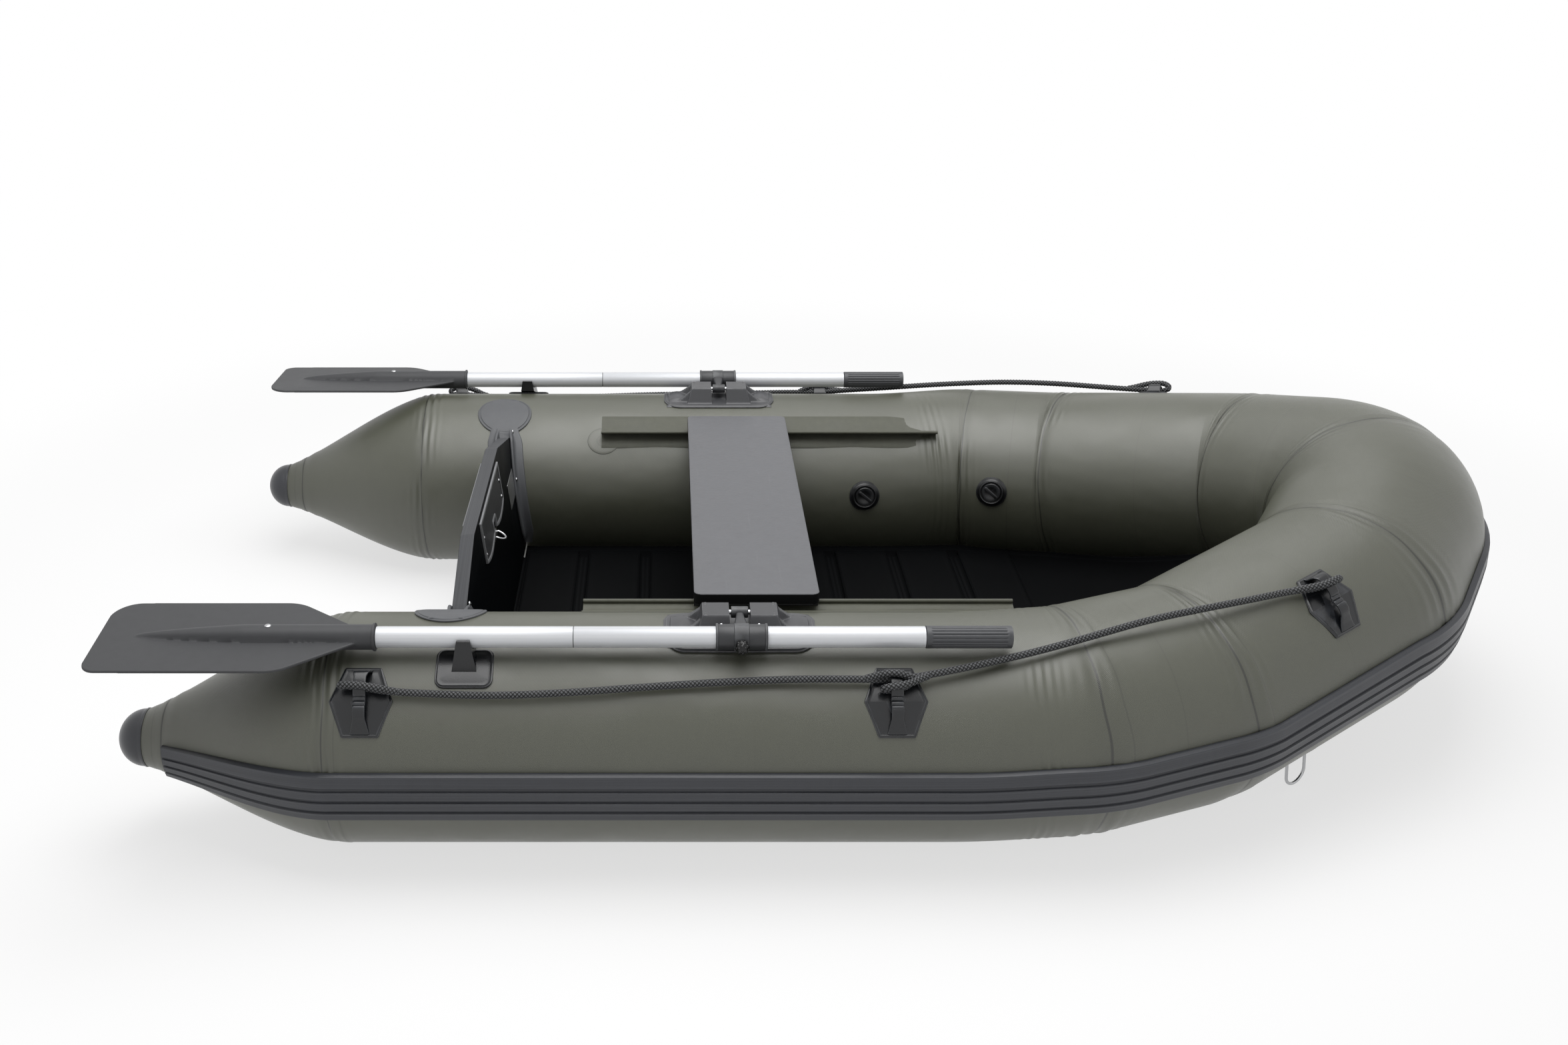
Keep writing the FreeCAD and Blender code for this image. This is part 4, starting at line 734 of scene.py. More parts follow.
def strake_material():
    """Blue-black extruded rubber: faint lengthwise drag lines, and rib crowns painted paler, partly as rubbing
    and partly as a painted highlight.
    """
    shader = Shader("strake_rubber", Specular_IOR_Level=0.5)
    lines = shader.noise(shader.stretch(shader.place("UV"), (3, 900, 1)), 1.0, 3.0)
    grain = shader.grain((0.023, 0.025, 0.031), 600.0, 0.30, 0.42, 0.2)
    crown = shader.span(shader.mark("proud"), 0.0080, 0.0102)
    # Rib crowns painted paler: partly rubbing, partly a painted highlight.
    rubbed_and_highlit = shader.times(crown, shader.span(lines, 0.35, 0.75, 0.10, 0.45))
    colour = shader.mix(rubbed_and_highlit, grain["Colour"], (0.10, 0.105, 0.12, 1))
    drag = shader.bump(lines, 0.0004, 0.7)
    return shader.use(Base_Color=colour, Roughness=grain["Roughness"],
                      Normal=shader.bump(grain["Height"], 0.00012, 1.0, drag))


strake = surface("rub_strake_band", strake_grid, uv=strake_uv, marks={"proud": strake_heights[None]})
fit_out(sharpen(strake, 50), "hull", "moulded_rubber", strake_material(), "strake_starboard", "strake_bow",
        "strake_port")

# Bottom: one sheet of heavy black coated fabric welded to both tubes, level under the slats and
# rising under the bow. It hangs a little slack between the welds, more so ahead of the slats.
floor_low, floor_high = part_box("floor_fabric")
floor_z, floor_thick = 0.080, 0.0025
floor_x = (-0.596, 0.420, 0.580, 0.745, 0.900)
floor_lift = (0.0, 0.0, 0.022, 0.080, 0.165)
weld_width = 0.018


def floor_height(x):
    """The bottom's height along the boat: level, then rising in a smooth curve."""
    bends = np.interp(x, floor_x, floor_lift)
    for _ in range(3):
        bends = (bends + np.interp(x - 0.03, floor_x, floor_lift)
                 + np.interp(x + 0.03, floor_x, floor_lift)) / 3
    return floor_z + bends


def floor_reach(x, height):
    """Half the width between the tubes at a height, found on the starboard tube's own rings."""
    rings = on_tube(np.linspace(0, tube_length / 2, 1800), np.linspace(np.pi * 0.75, np.pi * 1.45, 320))
    reach = np.zeros(len(x))
    for number, (along, level) in enumerate(zip(x, height)):
        near = rings[np.abs(rings[..., 2] - level) < 0.0015]
        near = near[np.abs(near[:, 0] - along) < 0.003]
        reach[number] = -near[:, 1].max() if len(near) else reach[number - 1] * 0.8
    return reach


floor_rows = np.concatenate([np.linspace(floor_low.x + 0.001, 0.42, 150),
                             np.linspace(0.425, floor_high.x + 0.006, 95)])
floor_levels = floor_height(floor_rows)
reach = np.pad(floor_reach(floor_rows, floor_levels), 5, mode="edge")
beside = np.lib.stride_tricks.sliding_window_view(reach, 11)
seen_edges = beside.mean(1)
floor_edges = beside.max(1) + 0.003
floor_share = np.sin(np.linspace(-np.pi / 2, np.pi / 2, 121))
across = floor_edges[:, None] * floor_share
ahead = held((floor_rows - 0.40) / 0.25)[:, None]
slack = (0.0010 + 0.0022 * ahead) * (np.sin(23 * floor_rows)[:, None] * np.cos(9 * across + 2.0)
                                    + 0.7 * np.sin(41 * floor_rows[:, None] + 17 * across))
slack *= (1 - floor_share ** 6) * held((floor_rows + 0.596) / 0.05)[:, None]
weld_gap = floor_edges[:, None] - np.abs(across)
weld = 0.0012 * held((weld_width - weld_gap) / 0.002)
top = gathered(floor_rows[:, None], across, floor_levels[:, None] + floor_thick + slack * ahead + weld)
under = top - (0, 0, floor_thick)
under[..., 2] -= weld
floor_grid = np.concatenate([top, under[:, ::-1]], 1)


def plan_uv(grid):
    """A sheet's own x and y as its cloth coordinates, the first column again at the end."""
    return np.concatenate([grid[..., :2], grid[:, :1, :2]], 1)


seam_gap = seen_edges[:, None] - np.abs(across) - 0.0015
floor_gap = np.concatenate([seam_gap, seam_gap[:, ::-1]], 1)
bottom_sheet = surface("bottom_sheet", floor_grid, uv=plan_uv(floor_grid), marks={"seam": floor_gap})
BLACK_CLOTH = coated_cloth("black_coated_cloth", (0.0028, 0.0030, 0.0033), 0.6, 0.00006, 0.5, 12.0, 0.03)
fit_out(sharpen(bottom_sheet, 50), "hull", "bottom_fabric", BLACK_CLOTH, "floor_fabric")

# Slatted floor: eight boards of black film-faced plywood that stiffen the bottom; each lies in an
# open-ended pocket of the same black fabric, stitched down along both its long edges.
slat_low, slat_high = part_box("floor_slats")
slat_width, slat_pitch, slat_thick = 0.105, 0.128, 0.009
slat_x = np.arange(slat_low.x, slat_high.x - slat_width / 2, slat_pitch)
pocket_hem, pocket_short = 0.011, 0.018


def outline(corners, radii, inset=0.0, steps=5):
    """A flat outline with rounded corners, drawn in by an inset: each edge moves along its own
    normal, and each corner becomes an arc tangent to both edges."""
    corners = as_points(corners)
    radii = np.broadcast_to(as_points(radii), len(corners))
    ways = unit(np.roll(corners, -1, 0) - corners)
    inward = np.stack([-ways[:, 1], ways[:, 0]], -1)
    points = []
    for number, corner in enumerate(corners):
        before, after = inward[number - 1], inward[number]
        turn = np.cross(ways[number - 1], ways[number])
        moved = corner + inset * (before + after) / (1 + before @ after)
        side = 1.0 if turn >= 0 else -1.0
        bend = max(radii[number] - side * inset, 1e-5)
        half = math.acos(max(-1.0, min(1.0, before @ after))) / 2
        centre = moved + side * unit(before + after) * bend / math.cos(half)
        for share in np.linspace(0, 1, steps):
            spoke = unit((1 - share) * before + share * after)
            points.append(centre - side * bend * spoke)
    return as_points(points)


def stacked(name, corners, radii, rows, frame, **settings):
    """A flat piece from its outline stacked at rows of insets and heights. The frame is an origin
    and three directions: two in the plan, one up."""
    origin, along, beside, up = (as_points(part) for part in frame)
    plans = [(outline(corners, radii, inset), height) for inset, height in rows]
    return surface(name, as_points([origin + plan[:, :1] * along + plan[:, 1:] * beside + height * up
                                    for plan, height in plans]), **settings)


def rounded_plate(name, corners, radii, thick, edge, frame, steps=4):
    """A stacked piece with quarter-round edges at both faces."""
    turn = np.linspace(0, np.pi / 2, steps + 1)
    quarter = list(zip(edge * (1 - np.sin(turn)), edge * (1 - np.cos(turn))))
    rows = quarter + [(inset, thick - height) for inset, height in reversed(quarter)]
    return stacked(name, corners, radii, rows, frame)


def rectangle(low, high):
    """The corners of an upright rectangle, anticlockwise."""
    return [(low[0], low[1]), (high[0], low[1]), (high[0], high[1]), (low[0], high[1])]


slats = join("slat_boards", *(
    rounded_plate("slat_board", rectangle((0, slat_low.y), (slat_width, slat_high.y)), 0.003,
                  slat_thick - 0.0004, 0.0012,
                  ((start, 0, slat_low.z + 0.0002), (1, 0, 0), (0, 1, 0), (0, 0, 1))) for start in slat_x))
pocket_share = np.linspace(0, 1, 41)
pocket_across = np.linspace(slat_low.y + pocket_short, slat_high.y - pocket_short, 80)
pockets = []
for number, start in enumerate(slat_x):
    x = start - pocket_hem + pocket_share * (slat_width + 2 * pocket_hem)
    over = held(np.minimum(x - start + 0.004, start + slat_width + 0.004 - x) / 0.007)
    lift = (3 * over ** 2 - 2 * over ** 3) * slat_thick
    sag = 0.0005 * np.sin(17 * pocket_across[None] + number) * np.sin(40 * x[:, None] + 3 * number)
    height = slat_low.z + 0.0011 + lift[:, None] + sag * (over[:, None] > 0) * (1 - over[:, None] * 0.5)
    sheet = gathered(x[:, None], pocket_across[None], height)
    grid = np.concatenate([sheet, (sheet - (0, 0, 0.0007))[:, ::-1]], 1)
    stitch = np.minimum(x - x[0], x[-1] - x)[:, None] - 0.004
    pockets.append(surface("pocket", grid, uv=plan_uv(grid), marks={"seam": stitch}))
pocket_cloth = join("slat_pockets", *pockets)
POCKET_CLOTH = coated_cloth("pocket_cloth", (0.0026, 0.0028, 0.0031), 0.55, 0.00006, 0.35, 2.5, 0.035)
fit_out(sharpen(pocket_cloth, 50), "hull", "bottom_fabric", POCKET_CLOTH)
FILM_FACED = moulded("film_faced_plywood", (0.0034, 0.0037, 0.0041), 0.38, 260.0, 0.00006,
                     Specular_IOR_Level=0.04)
fit_out(sharpen(slats, 40), "hull", "slat_wood", FILM_FACED, "floor_slats")

# Transom holders: one moulded grey rubber saddle on each tube, glued on, with a round pad on top
# and two rails that grip the transom board between them.
board_foot = as_points((-0.621, 0.0, 0.084))
board_lean = math.radians(6.5)
board_thick = 0.025
board_out = as_points((math.cos(board_lean), 0, math.sin(board_lean)))
board_up = as_points((-math.sin(board_lean), 0, math.cos(board_lean)))
saddle_half, saddle_skin = 0.036, 0.0035
rail_tall, rail_wall = 0.020, 0.006
saddle_from, saddle_to = math.radians(96), math.radians(206)
pad_radius, pad_inboard = 0.056, 0.065
rail_from = math.radians(124)
GREY_RUBBER = moulded("grey_moulded_rubber", (0.076, 0.079, 0.085), 0.50, 800.0, 0.00012, 0.22)


def lean_x(height):
    """Where the middle of the leaning board stands at a height."""
    middle = board_foot[0] + board_thick / 2 * math.cos(board_lean)
    return middle - (height - board_foot[2]) * math.tan(board_lean)


def saddle_profile():
    """Distances from the board's middle and heights over the tube: a feathered skin, a rail with
    a rounded top on each side, and the slot between them."""
    slot = board_thick / 2 + 0.0004
    crown = np.linspace(0, np.pi, 7)
    outer = [(-saddle_half, 0.0004), (-saddle_half + 0.001, saddle_skin * 0.8),
             (-saddle_half + 0.004, saddle_skin)]
    fillet = [(-slot - rail_wall - 0.007 * (1 - math.sin(turn)), saddle_skin + 0.007 * (1 - math.cos(turn)))
              for turn in np.linspace(0, np.pi / 2, 6)]
    rail = [(-slot - rail_wall / 2 - rail_wall / 2 * math.cos(turn),
             rail_tall - 0.003 + 0.003 * math.sin(turn))
            for turn in crown]
    half = outer + fillet + rail + [(-slot, saddle_skin + 0.0002), (-slot + 0.002, 0.0008)]
    return as_points(half + [(-run, height) for run, height in reversed(half)])


profile = saddle_profile()
saddle_angles = np.linspace(saddle_from, saddle_to, 60)
taper = held(np.minimum(saddle_angles - rail_from, saddle_to - saddle_angles) / 0.20)
taper = taper * taper * (3 - 2 * taper)
inner = np.abs(profile[:, 0]) < saddle_half - 0.006
saddle_height = np.where(inner, saddle_skin + (profile[:, 1] - saddle_skin) * taper[:, None], profile[:, 1])
saddle_reach = tube_radius + saddle_height
saddle_z = tube_radius + saddle_reach * np.sin(saddle_angles)[:, None]
saddle_grid = np.stack([lean_x(saddle_z) + profile[:, 0] * (0.80 + 0.20 * taper[:, None]),
                        -half_beam - saddle_reach * np.cos(saddle_angles)[:, None], saddle_z], -1)
pad_steps = as_points([(1.0, 0.0003), (1.0, 0.0020), (0.985, 0.0029), (0.95, 0.0029), (0.935, 0.0021),
                       (0.91, 0.0021), (0.89, 0.0034)]
                      + [(share, 0.0037) for share in (0.8, 0.6, 0.4, 0.2, 0.02)])
pad_share, pad_reach = pad_steps[:, :1], tube_radius + pad_steps[:, 1:]
spin = full_turn(72)
pad_arc = (pad_inboard + pad_radius * pad_share * np.sin(spin)) / tube_radius
pad_z = tube_radius + pad_reach * np.cos(pad_arc)
pad_grid = np.stack([lean_x(pad_z) + pad_radius * pad_share * np.cos(spin),
                     -half_beam + pad_reach * np.sin(pad_arc), pad_z], -1)
for side, sign in SIDES.items():
    saddle = surface("holder_saddle_" + side, saddle_grid * (1, -sign, 1))
    pad = surface("holder_pad_" + side, pad_grid * (1, -sign, 1))
    holder = join("transom_holder_" + side + "_rubber", saddle, pad)
    fit_out(sharpen(holder, 38), "hull", "moulded_rubber", GREY_RUBBER, "transom_holder_" + side)

# Transom board: one piece of 25 mm plywood, painted near-black on both faces, with its sawn edges
# sealed in grey. It is pushed down between the holders' rails and screwed through them.
board_corners = [(-0.408, 0.0), (0.408, 0.0), (0.408, 0.226), (0.372, 0.240), (0.200, 0.2855),
                 (-0.200, 0.2855), (-0.372, 0.240), (-0.408, 0.226)]


def painted_board(name, face, edge_tone, layers):
    """Painted plywood: dark faces with faint brush lines, and a sealed edge where the veneers
    still show as thin lines. The mark tells face from edge."""
    shader = Shader(name, Specular_IOR_Level=0.04)
    spot = shader.place()
    edge = shader.mark("edge")
    brush = shader.noise(shader.stretch(spot, (60, 3, 60)), 1.0, 3.0)
    veneer = shader.noise(shader.stretch(spot, layers), 1.0, 1.0)
    face_paint = shader.grain(face, 420.0, 0.3, 0.42, 0.2)
    sealed = shader.mix(shader.span(veneer, 0.45, 0.62, 0.0, 0.35), (*edge_tone, 1),
                        tuple(part * 0.6 for part in edge_tone) + (1,))
    colour = shader.mix(edge, face_paint["Colour"], sealed)
    return shader.use(Base_Color=colour, Roughness=face_paint["Roughness"],
                      Normal=shader.bump(brush, 0.00035, 0.6))


def edge_mark(made, up, share=0.75):
    """Mark a plate's edge with one and its two faces with nothing. The mark is kept on the face
    corners, so that it changes sharply where they meet."""
    mesh = made.data
    normals = np.empty(len(mesh.polygons) * 3)
    mesh.polygons.foreach_get("normal", normals)
    facing = np.abs(normals.reshape(-1, 3) @ as_points(up)) < share
    totals = np.empty(len(mesh.polygons), dtype=np.int32)
    mesh.polygons.foreach_get("loop_total", totals)
    attribute = mesh.attributes.new("edge", "FLOAT", "CORNER")
    attribute.data.foreach_set("value", np.repeat(facing, totals).astype(np.float32))
    return made


transom = rounded_plate("transom_plywood", board_corners,
                        (0.004, 0.004, 0.012, 0.012, 0.02, 0.02, 0.012, 0.012),
                        board_thick, 0.0022, (board_foot, (0, 1, 0), board_up, board_out))
edge_mark(transom, board_out)
fit_out(sharpen(transom, 30), "hull", "transom_wood",
        painted_board("transom_paint", (0.0014, 0.0017, 0.0022), (0.085, 0.087, 0.092), (900, 2, 2)),
        "transom_board")

# Motor plates: two moulded black plates with raised rims that take an outboard's clamp. They are
# screwed to the transom's faces; the inner one has a diamond mesh and a scalloped lower edge.
plate_half, plate_top = 0.145, 0.2785
plate_low = {"inner": plate_top - 0.078, "outer": plate_top - 0.066}
plate_thick, plate_rim, plate_sunk = 0.004, 0.007, 0.0018
notch_half, notch_top, scallop = 0.015, 0.020, 0.012


def plate_corners(side):
    """A motor plate's corners: the inner plate's lower edge has two shallow arcs and a notch."""
    low = plate_low[side]
    if side == "outer":
        return rectangle((-plate_half, low), (plate_half, plate_top))
    bow = np.linspace(0, 1, 13)
    arc = np.stack([-plate_half + bow * (plate_half - notch_half), low - scallop * 4 * bow * (1 - bow)], -1)
    notch = [(-notch_half, low + notch_top), (notch_half, low + notch_top)]
    return np.concatenate([arc, notch, (arc * (-1, 1))[::-1],
                           [(plate_half, plate_top), (-plate_half, plate_top)]])


def plate_material():
    """Moulded black plate: a rim painted pale grey as a highlight, round a sunk field of fine diamonds whose
    ridges are painted paler than the near-black cells, as highlight and shade.
    """
    shader = Shader("motor_plate_plastic", Specular_IOR_Level=0.5)
    spot = shader.stretch(shader.place(), (900, 900, 900))
    field = shader.mark("field")
    parts = shader.add("ShaderNodeSeparateXYZ", {0: spot}).outputs
    first = shader.math("SINE", shader.plus(parts[1], parts[2]))
    second = shader.math("SINE", shader.math("SUBTRACT", parts[1], parts[2]))
    mesh = shader.math("MAXIMUM", shader.math("ABSOLUTE", first), shader.math("ABSOLUTE", second))
    diamonds = shader.span(mesh, 0.82, 0.97)
    # Painted shade in the sunk diamond cells, and a painted highlight on their ridges.
    dark = shader.mix(diamonds, (0.004, 0.004, 0.005, 1), (0.035, 0.036, 0.04, 1))
    # The rim's pale grey is a painted highlight on a black plate.
    grain = shader.grain((0.16, 0.163, 0.17), 900.0, 0.25, 0.42, 0.15)
    colour = shader.mix(field, grain["Colour"], dark)
    height = shader.times(diamonds, field)
    return shader.use(Base_Color=colour, Roughness=grain["Roughness"], Normal=shader.bump(height, 0.0005))


PLATE_PLASTIC = plate_material()
plate_rows = [(0.0006, 0.0), (0.0, 0.0006), (0.0, plate_thick - 0.0008), (0.0003, plate_thick - 0.0002),
              (0.0009, plate_thick), (plate_rim - 0.0012, plate_thick),
              (plate_rim - 0.0004, plate_thick - 0.0004),
              (plate_rim, plate_thick - plate_sunk)]
plate_field = (np.arange(len(plate_rows)) == len(plate_rows) - 1)[:, None]
screw_places = {"inner": [(-0.131, 0.245), (0.131, 0.245), (-0.131, 0.212), (0.131, 0.212)],
                "outer": [(-0.131, 0.250), (0.131, 0.250), (-0.131, 0.224), (0.131, 0.224)]}


def steel(name, tone=0.62, roughness=0.22, turned_marks=900.0):
    """Bright steel: fine machining lines and faint smears of grease in the gloss."""
    shader = Shader(name, Metallic=1.0)
    lines = shader.noise(shader.stretch(shader.place(), (1, 1, turned_marks)), 1.0, 2.0)
    smear = shader.noise(shader.place(), 60.0, 3.0)
    colour = shader.mix(smear, (tone * 0.85, tone * 0.86, tone * 0.88, 1),
                        (tone, tone * 1.01, tone * 1.03, 1))
    gloss = shader.plus(shader.times(smear, 0.18), roughness - 0.09)
    return shader.use(Base_Color=colour, Roughness=gloss, Normal=shader.bump(lines, 0.00003))


BRIGHT_STEEL = steel("bright_steel", 0.50, 0.26)


def screw_heads(name, places, radius, frame):
    """Domed screw heads, each a small turned cap with a hollow in its middle."""
    origin, along, beside, up = (as_points(part) for part in frame)
    heads = []
    for across, rise in places:
        foot = origin + across * along + rise * beside
        bulge = np.linspace(0.08, np.pi / 2, 7)
        rows = [(0.0, radius)] + [(radius * 0.55 * math.sin(turn),
                                   radius * math.cos(turn)) for turn in bulge[:-1]]
        rows += [(radius * 0.56, radius * 0.36), (radius * 0.34, radius * 0.22),
                 (radius * 0.30, radius * 0.02)]
        heads.append(turned(name, rows, foot, up, 16))
    return join(name, *heads)


for side, offset, way in (("inner", board_thick + 0.0003, 1), ("outer", -0.0003, -1)):
    corners = plate_corners(side)
    origin = board_foot + board_out * offset
    plate = stacked("motor_plate_" + side + "_moulding", corners, 0.0015, plate_rows,
                    (origin, (0, 1, 0), board_up, way * board_out), marks={"field": plate_field})
    fit_out(sharpen(plate, 35), "hull", "black_plastic", PLATE_PLASTIC, "motor_plate_" + side)
    screws = screw_heads("plate_screws_" + side, screw_places[side], 0.0036,
                         (origin + way * board_out * (plate_thick - plate_sunk), (0, 1, 0), board_up,
                          way * board_out))
    fit_out(sharpen(screws, 30), "hull", "bright_steel", BRIGHT_STEEL)

# Small fittings of the transom: a bright wire eye under the notch for a safety line, a blank rating
# plate riveted to the inner face, and the bright screws that hold the board in its holders.
eye_wire, eye_radius, eye_rise = 0.0021, 0.017, 0.199


def wire(name, line, radius, columns=12):
    """A round bar bent along a line of points."""
    _, across, beside = carried_frames(line, as_points((0.13, 0.27, 0.95)))
    return surface(name, line[:, None] + radius * wheel(across[:, None], beside[:, None], full_turn(columns)))


inner_face = board_foot + board_out * board_thick
turn = np.linspace(-0.15 * np.pi, 1.15 * np.pi, 26)
hoop = np.stack([eye_radius * np.cos(turn), eye_radius * np.sin(turn)], -1)
eye_line = (inner_face + board_up * (eye_rise - eye_radius * 0.45)
            + board_out * (hoop[:, 1:] * 0.80 + 0.005) + as_points((0, 1, 0)) * hoop[:, :1] * 0.8
            - board_up * np.maximum(hoop[:, 1:], 0) * 0.5)
eye = wire("transom_eye", eye_line, eye_wire)
inner_frame = (inner_face + board_out * 0.0001, (0, 1, 0), board_up, board_out)
plate_back = rounded_plate("eye_plate", rectangle((-0.021, eye_rise - 0.016), (0.021, eye_rise)), 0.004,
                           0.0016, 0.0005, inner_frame)
fit_out(sharpen(join("transom_eye_bolt", eye, plate_back), 35), "hull", "bright_steel", BRIGHT_STEEL)
rating = rounded_plate("rating_plate", rectangle((0.235, 0.135), (0.325, 0.190)), 0.003, 0.0009, 0.0003,
                       inner_frame)
fit_out(sharpen(rating, 30), "hull", "bright_steel", steel("rating_plate_metal", 0.42, 0.4, 200.0))
screw_reach = tube_radius + rail_tall - 0.006
holder_screws = [(sign * (half_beam + screw_reach * math.cos(angle)),
                  (tube_radius + screw_reach * math.sin(angle) - board_foot[2]) / math.cos(board_lean))
                 for sign in SIDES.values() for angle in (math.radians(130), math.radians(160))]
screw_face = board_foot + board_out * (board_thick + rail_wall + 0.0004)
heads = screw_heads("holder_screws", holder_screws, 0.0045, (screw_face, (0, 1, 0), board_up, board_out))
fit_out(sharpen(heads, 30), "hull", "bright_steel", BRIGHT_STEEL)

# Thwart flaps: a strip of olive cloth glued along the inner side of each tube; its upper edge is
# sewn round a bolt rope that stands off the tube and carries the thwart's rails.
flap_low, flap_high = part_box("thwart_flap_starboard")
bolt_z, bolt_radius, cloth_thick = 0.3335, 0.0035, 0.0017
rail_y = 0.378
flap_root, flap_foot = math.radians(128), math.radians(138)
foot_lifts = (0.0006, 0.0018, 0.0018, 0.0019, 0.0021, 0.0026, 0.0034, 0.005)
strip_lifts = (0.0042, 0.0030, 0.0022, 0.0019, 0.0018, 0.0018, 0.0018, 0.0004)
flap_step = 0.007


def flap_section(slump):
    """Across the flap: up from its glued foot over the tube's skin, off it to the bolt rope,
    round the rope, and back down outboard to a second glued strip."""
    def on_skin(turn, lift):
        return (-half_beam - (tube_radius + lift) * np.cos(turn),
                tube_radius + (tube_radius + lift) * np.sin(turn))

    foot = [on_skin(turn, lift) for turn, lift in zip(np.linspace(flap_foot, flap_root, 8), foot_lifts)]
    start, end = foot[-1], (-rail_y + 0.0012, bolt_z - 0.0032)
    bow = np.linspace(0.15, 0.9, 6)
    rise = [(start[0] + (end[0] - start[0]) * step + 0.0015 * math.sin(math.pi * step) * slump,
             start[1] + (end[1] - start[1]) * step) for step in bow]
    bead = [(-rail_y + bolt_radius * math.sin(turn), bolt_z - bolt_radius * math.cos(turn))
            for turn in np.linspace(0.35, 2 * np.pi - 0.35, 18)]
    back = [(start[0] + (end[0] - start[0]) * step - cloth_thick + 0.0015 * math.sin(math.pi * step) * slump,
             start[1] + (end[1] - start[1]) * step + 0.0004) for step in bow[::-1]]
    strip = [on_skin(turn, lift)
             for turn, lift in zip(np.linspace(flap_root - 0.015, flap_root - 0.26, 8), strip_lifts)]
    return as_points(foot + rise + bead + back + strip)


flap_rows = np.arange(flap_low.x + 0.0005, flap_high.x, flap_step)
flap_rows = np.append(flap_rows[flap_rows < flap_high.x - 0.001], flap_high.x - 0.0005)
flap_share = (flap_rows - flap_rows[0]) / (flap_rows[-1] - flap_rows[0])


def flap_finish():
    """The flap's cloth: olive, with two rows of stitches close to the bolt rope and soft creases."""
    shader = Shader("flap_cloth", Specular_IOR_Level=0.4)
    spot = shader.place()
    cloth = shader.place("UV")
    dots = shader.effect(WEAVE, Vector=cloth)["Height"]
    parts = shader.add("ShaderNodeSeparateXYZ", {0: cloth}).outputs
    dash = shader.span(shader.math("SINE", shader.times(parts[0], 2 * math.pi / 0.0042)), -0.2, 0.3)
    rows = None
    for place in (0.0, 0.0035):
        near = shader.span(shader.math("ABSOLUTE", shader.math("SUBTRACT", shader.mark("seam"), place)),
                           0.0002, 0.0006, 1.0, 0.0)
        rows = near if rows is None else shader.plus(rows, near, True)
    thread = shader.times(rows, dash)
    grain = shader.grain((0.070, 0.072, 0.053), 500.0, 0.3, 0.5, 0.2)
    colour = shader.mix(shader.times(thread, 0.75), grain["Colour"], (0.035, 0.036, 0.027, 1))
    crease = shader.bump(shader.noise(shader.stretch(spot, (14, 30, 30)), 1.0, 3.0), 0.003, 0.5)
    return shader.use(Base_Color=colour, Roughness=grain["Roughness"],
                      Normal=shader.bump(dots, 0.00008, 1.0, crease))


FLAP_CLOTH = flap_finish()
for side, sign in SIDES.items():
    sections = as_points([flap_section(1.0 + 1.6 * math.sin(9 * share + sign) * math.sin(math.pi * share))
                          for share in flap_share])
    grid = gathered(flap_rows[:, None], sections[..., 0], sections[..., 1])
    free = (sections[..., 1] > 0.300) * (sections[..., 1] < 0.328)
    grid[..., 1] += 0.0010 * np.sin(31 * flap_rows + 2 * sign)[:, None] * free
    around = run_of(sections[0])
    stitch_from = around[13]  # the last point before the bolt rope
    flap = surface("thwart_flap_cloth_" + side, grid * (1, -sign, 1),
                   uv=crossed(flap_rows, np.append(around, around[-1])),
                   marks={"seam": (stitch_from - around)[None]})
    fit_out(sharpen(flap, 60), "hull", "tube_fabric", FLAP_CLOTH, "thwart_flap_" + side)

# Flap patches: half-round pieces of the tubes' cloth glued over both ends of each flap, so that
# the thwart's pull doesn't peel them.
patch_radius, patch_thick = 0.030, 0.0009
patch_profile = ((1.0, 0.00008), (0.995, patch_thick * 0.7), (0.97, patch_thick), (0.8, patch_thick),
                 (0.6, patch_thick), (0.4, patch_thick), (0.2, patch_thick), (0.02, patch_thick))


def skin_point(centre, way, angle, x, y, height):
    """Points by a fitting's own measures on a straight stretch of tube: along it, round it and over
    its skin, from the fitting's centre; the angle turns upwards from outboard."""
    outboard, upward = tube_axes(as_points(way)[None])
    x, y, height = np.broadcast_arrays(x, y, height)
    turn = (angle + y / tube_radius)[..., None]
    reach = (tube_radius + height)[..., None]
    return centre + x[..., None] * as_points(way) + reach * (outboard * np.cos(turn) + upward * np.sin(turn))


spin = full_turn(56)
for side, sign in SIDES.items():
    patches = []
    for x in (flap_rows[0] + 0.004, flap_rows[-1] - 0.004):
        grid = as_points([skin_point(as_points((x, -half_beam, tube_radius)), (1, 0, 0), math.radians(133),
                                     patch_radius * 1.1 * share * np.cos(spin),
                                     patch_radius * share * np.sin(spin),
                                     height) for share, height in patch_profile])
        rim = as_points([patch_radius * (1 - share) for share, _ in patch_profile])[:, None]
        patches.append(surface("flap_patch", grid * (1, -sign, 1), uv=plan_uv(grid),
                               marks={"seam": rim + 0.0004}))
    fit_out(sharpen(join("flap_patches_" + side, *patches), 50), "hull", "tube_fabric", OLIVE_CLOTH)

# Thwart: a 20 mm plywood seat board, painted grey on top with near-black edges. Its corners are
# rounded, and years of seats and boots have left faint stains and fine scratches.
thwart_low, thwart_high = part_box("thwart_board")
thwart_corners = rectangle((thwart_low.x, thwart_low.y), (thwart_high.x, thwart_high.y))


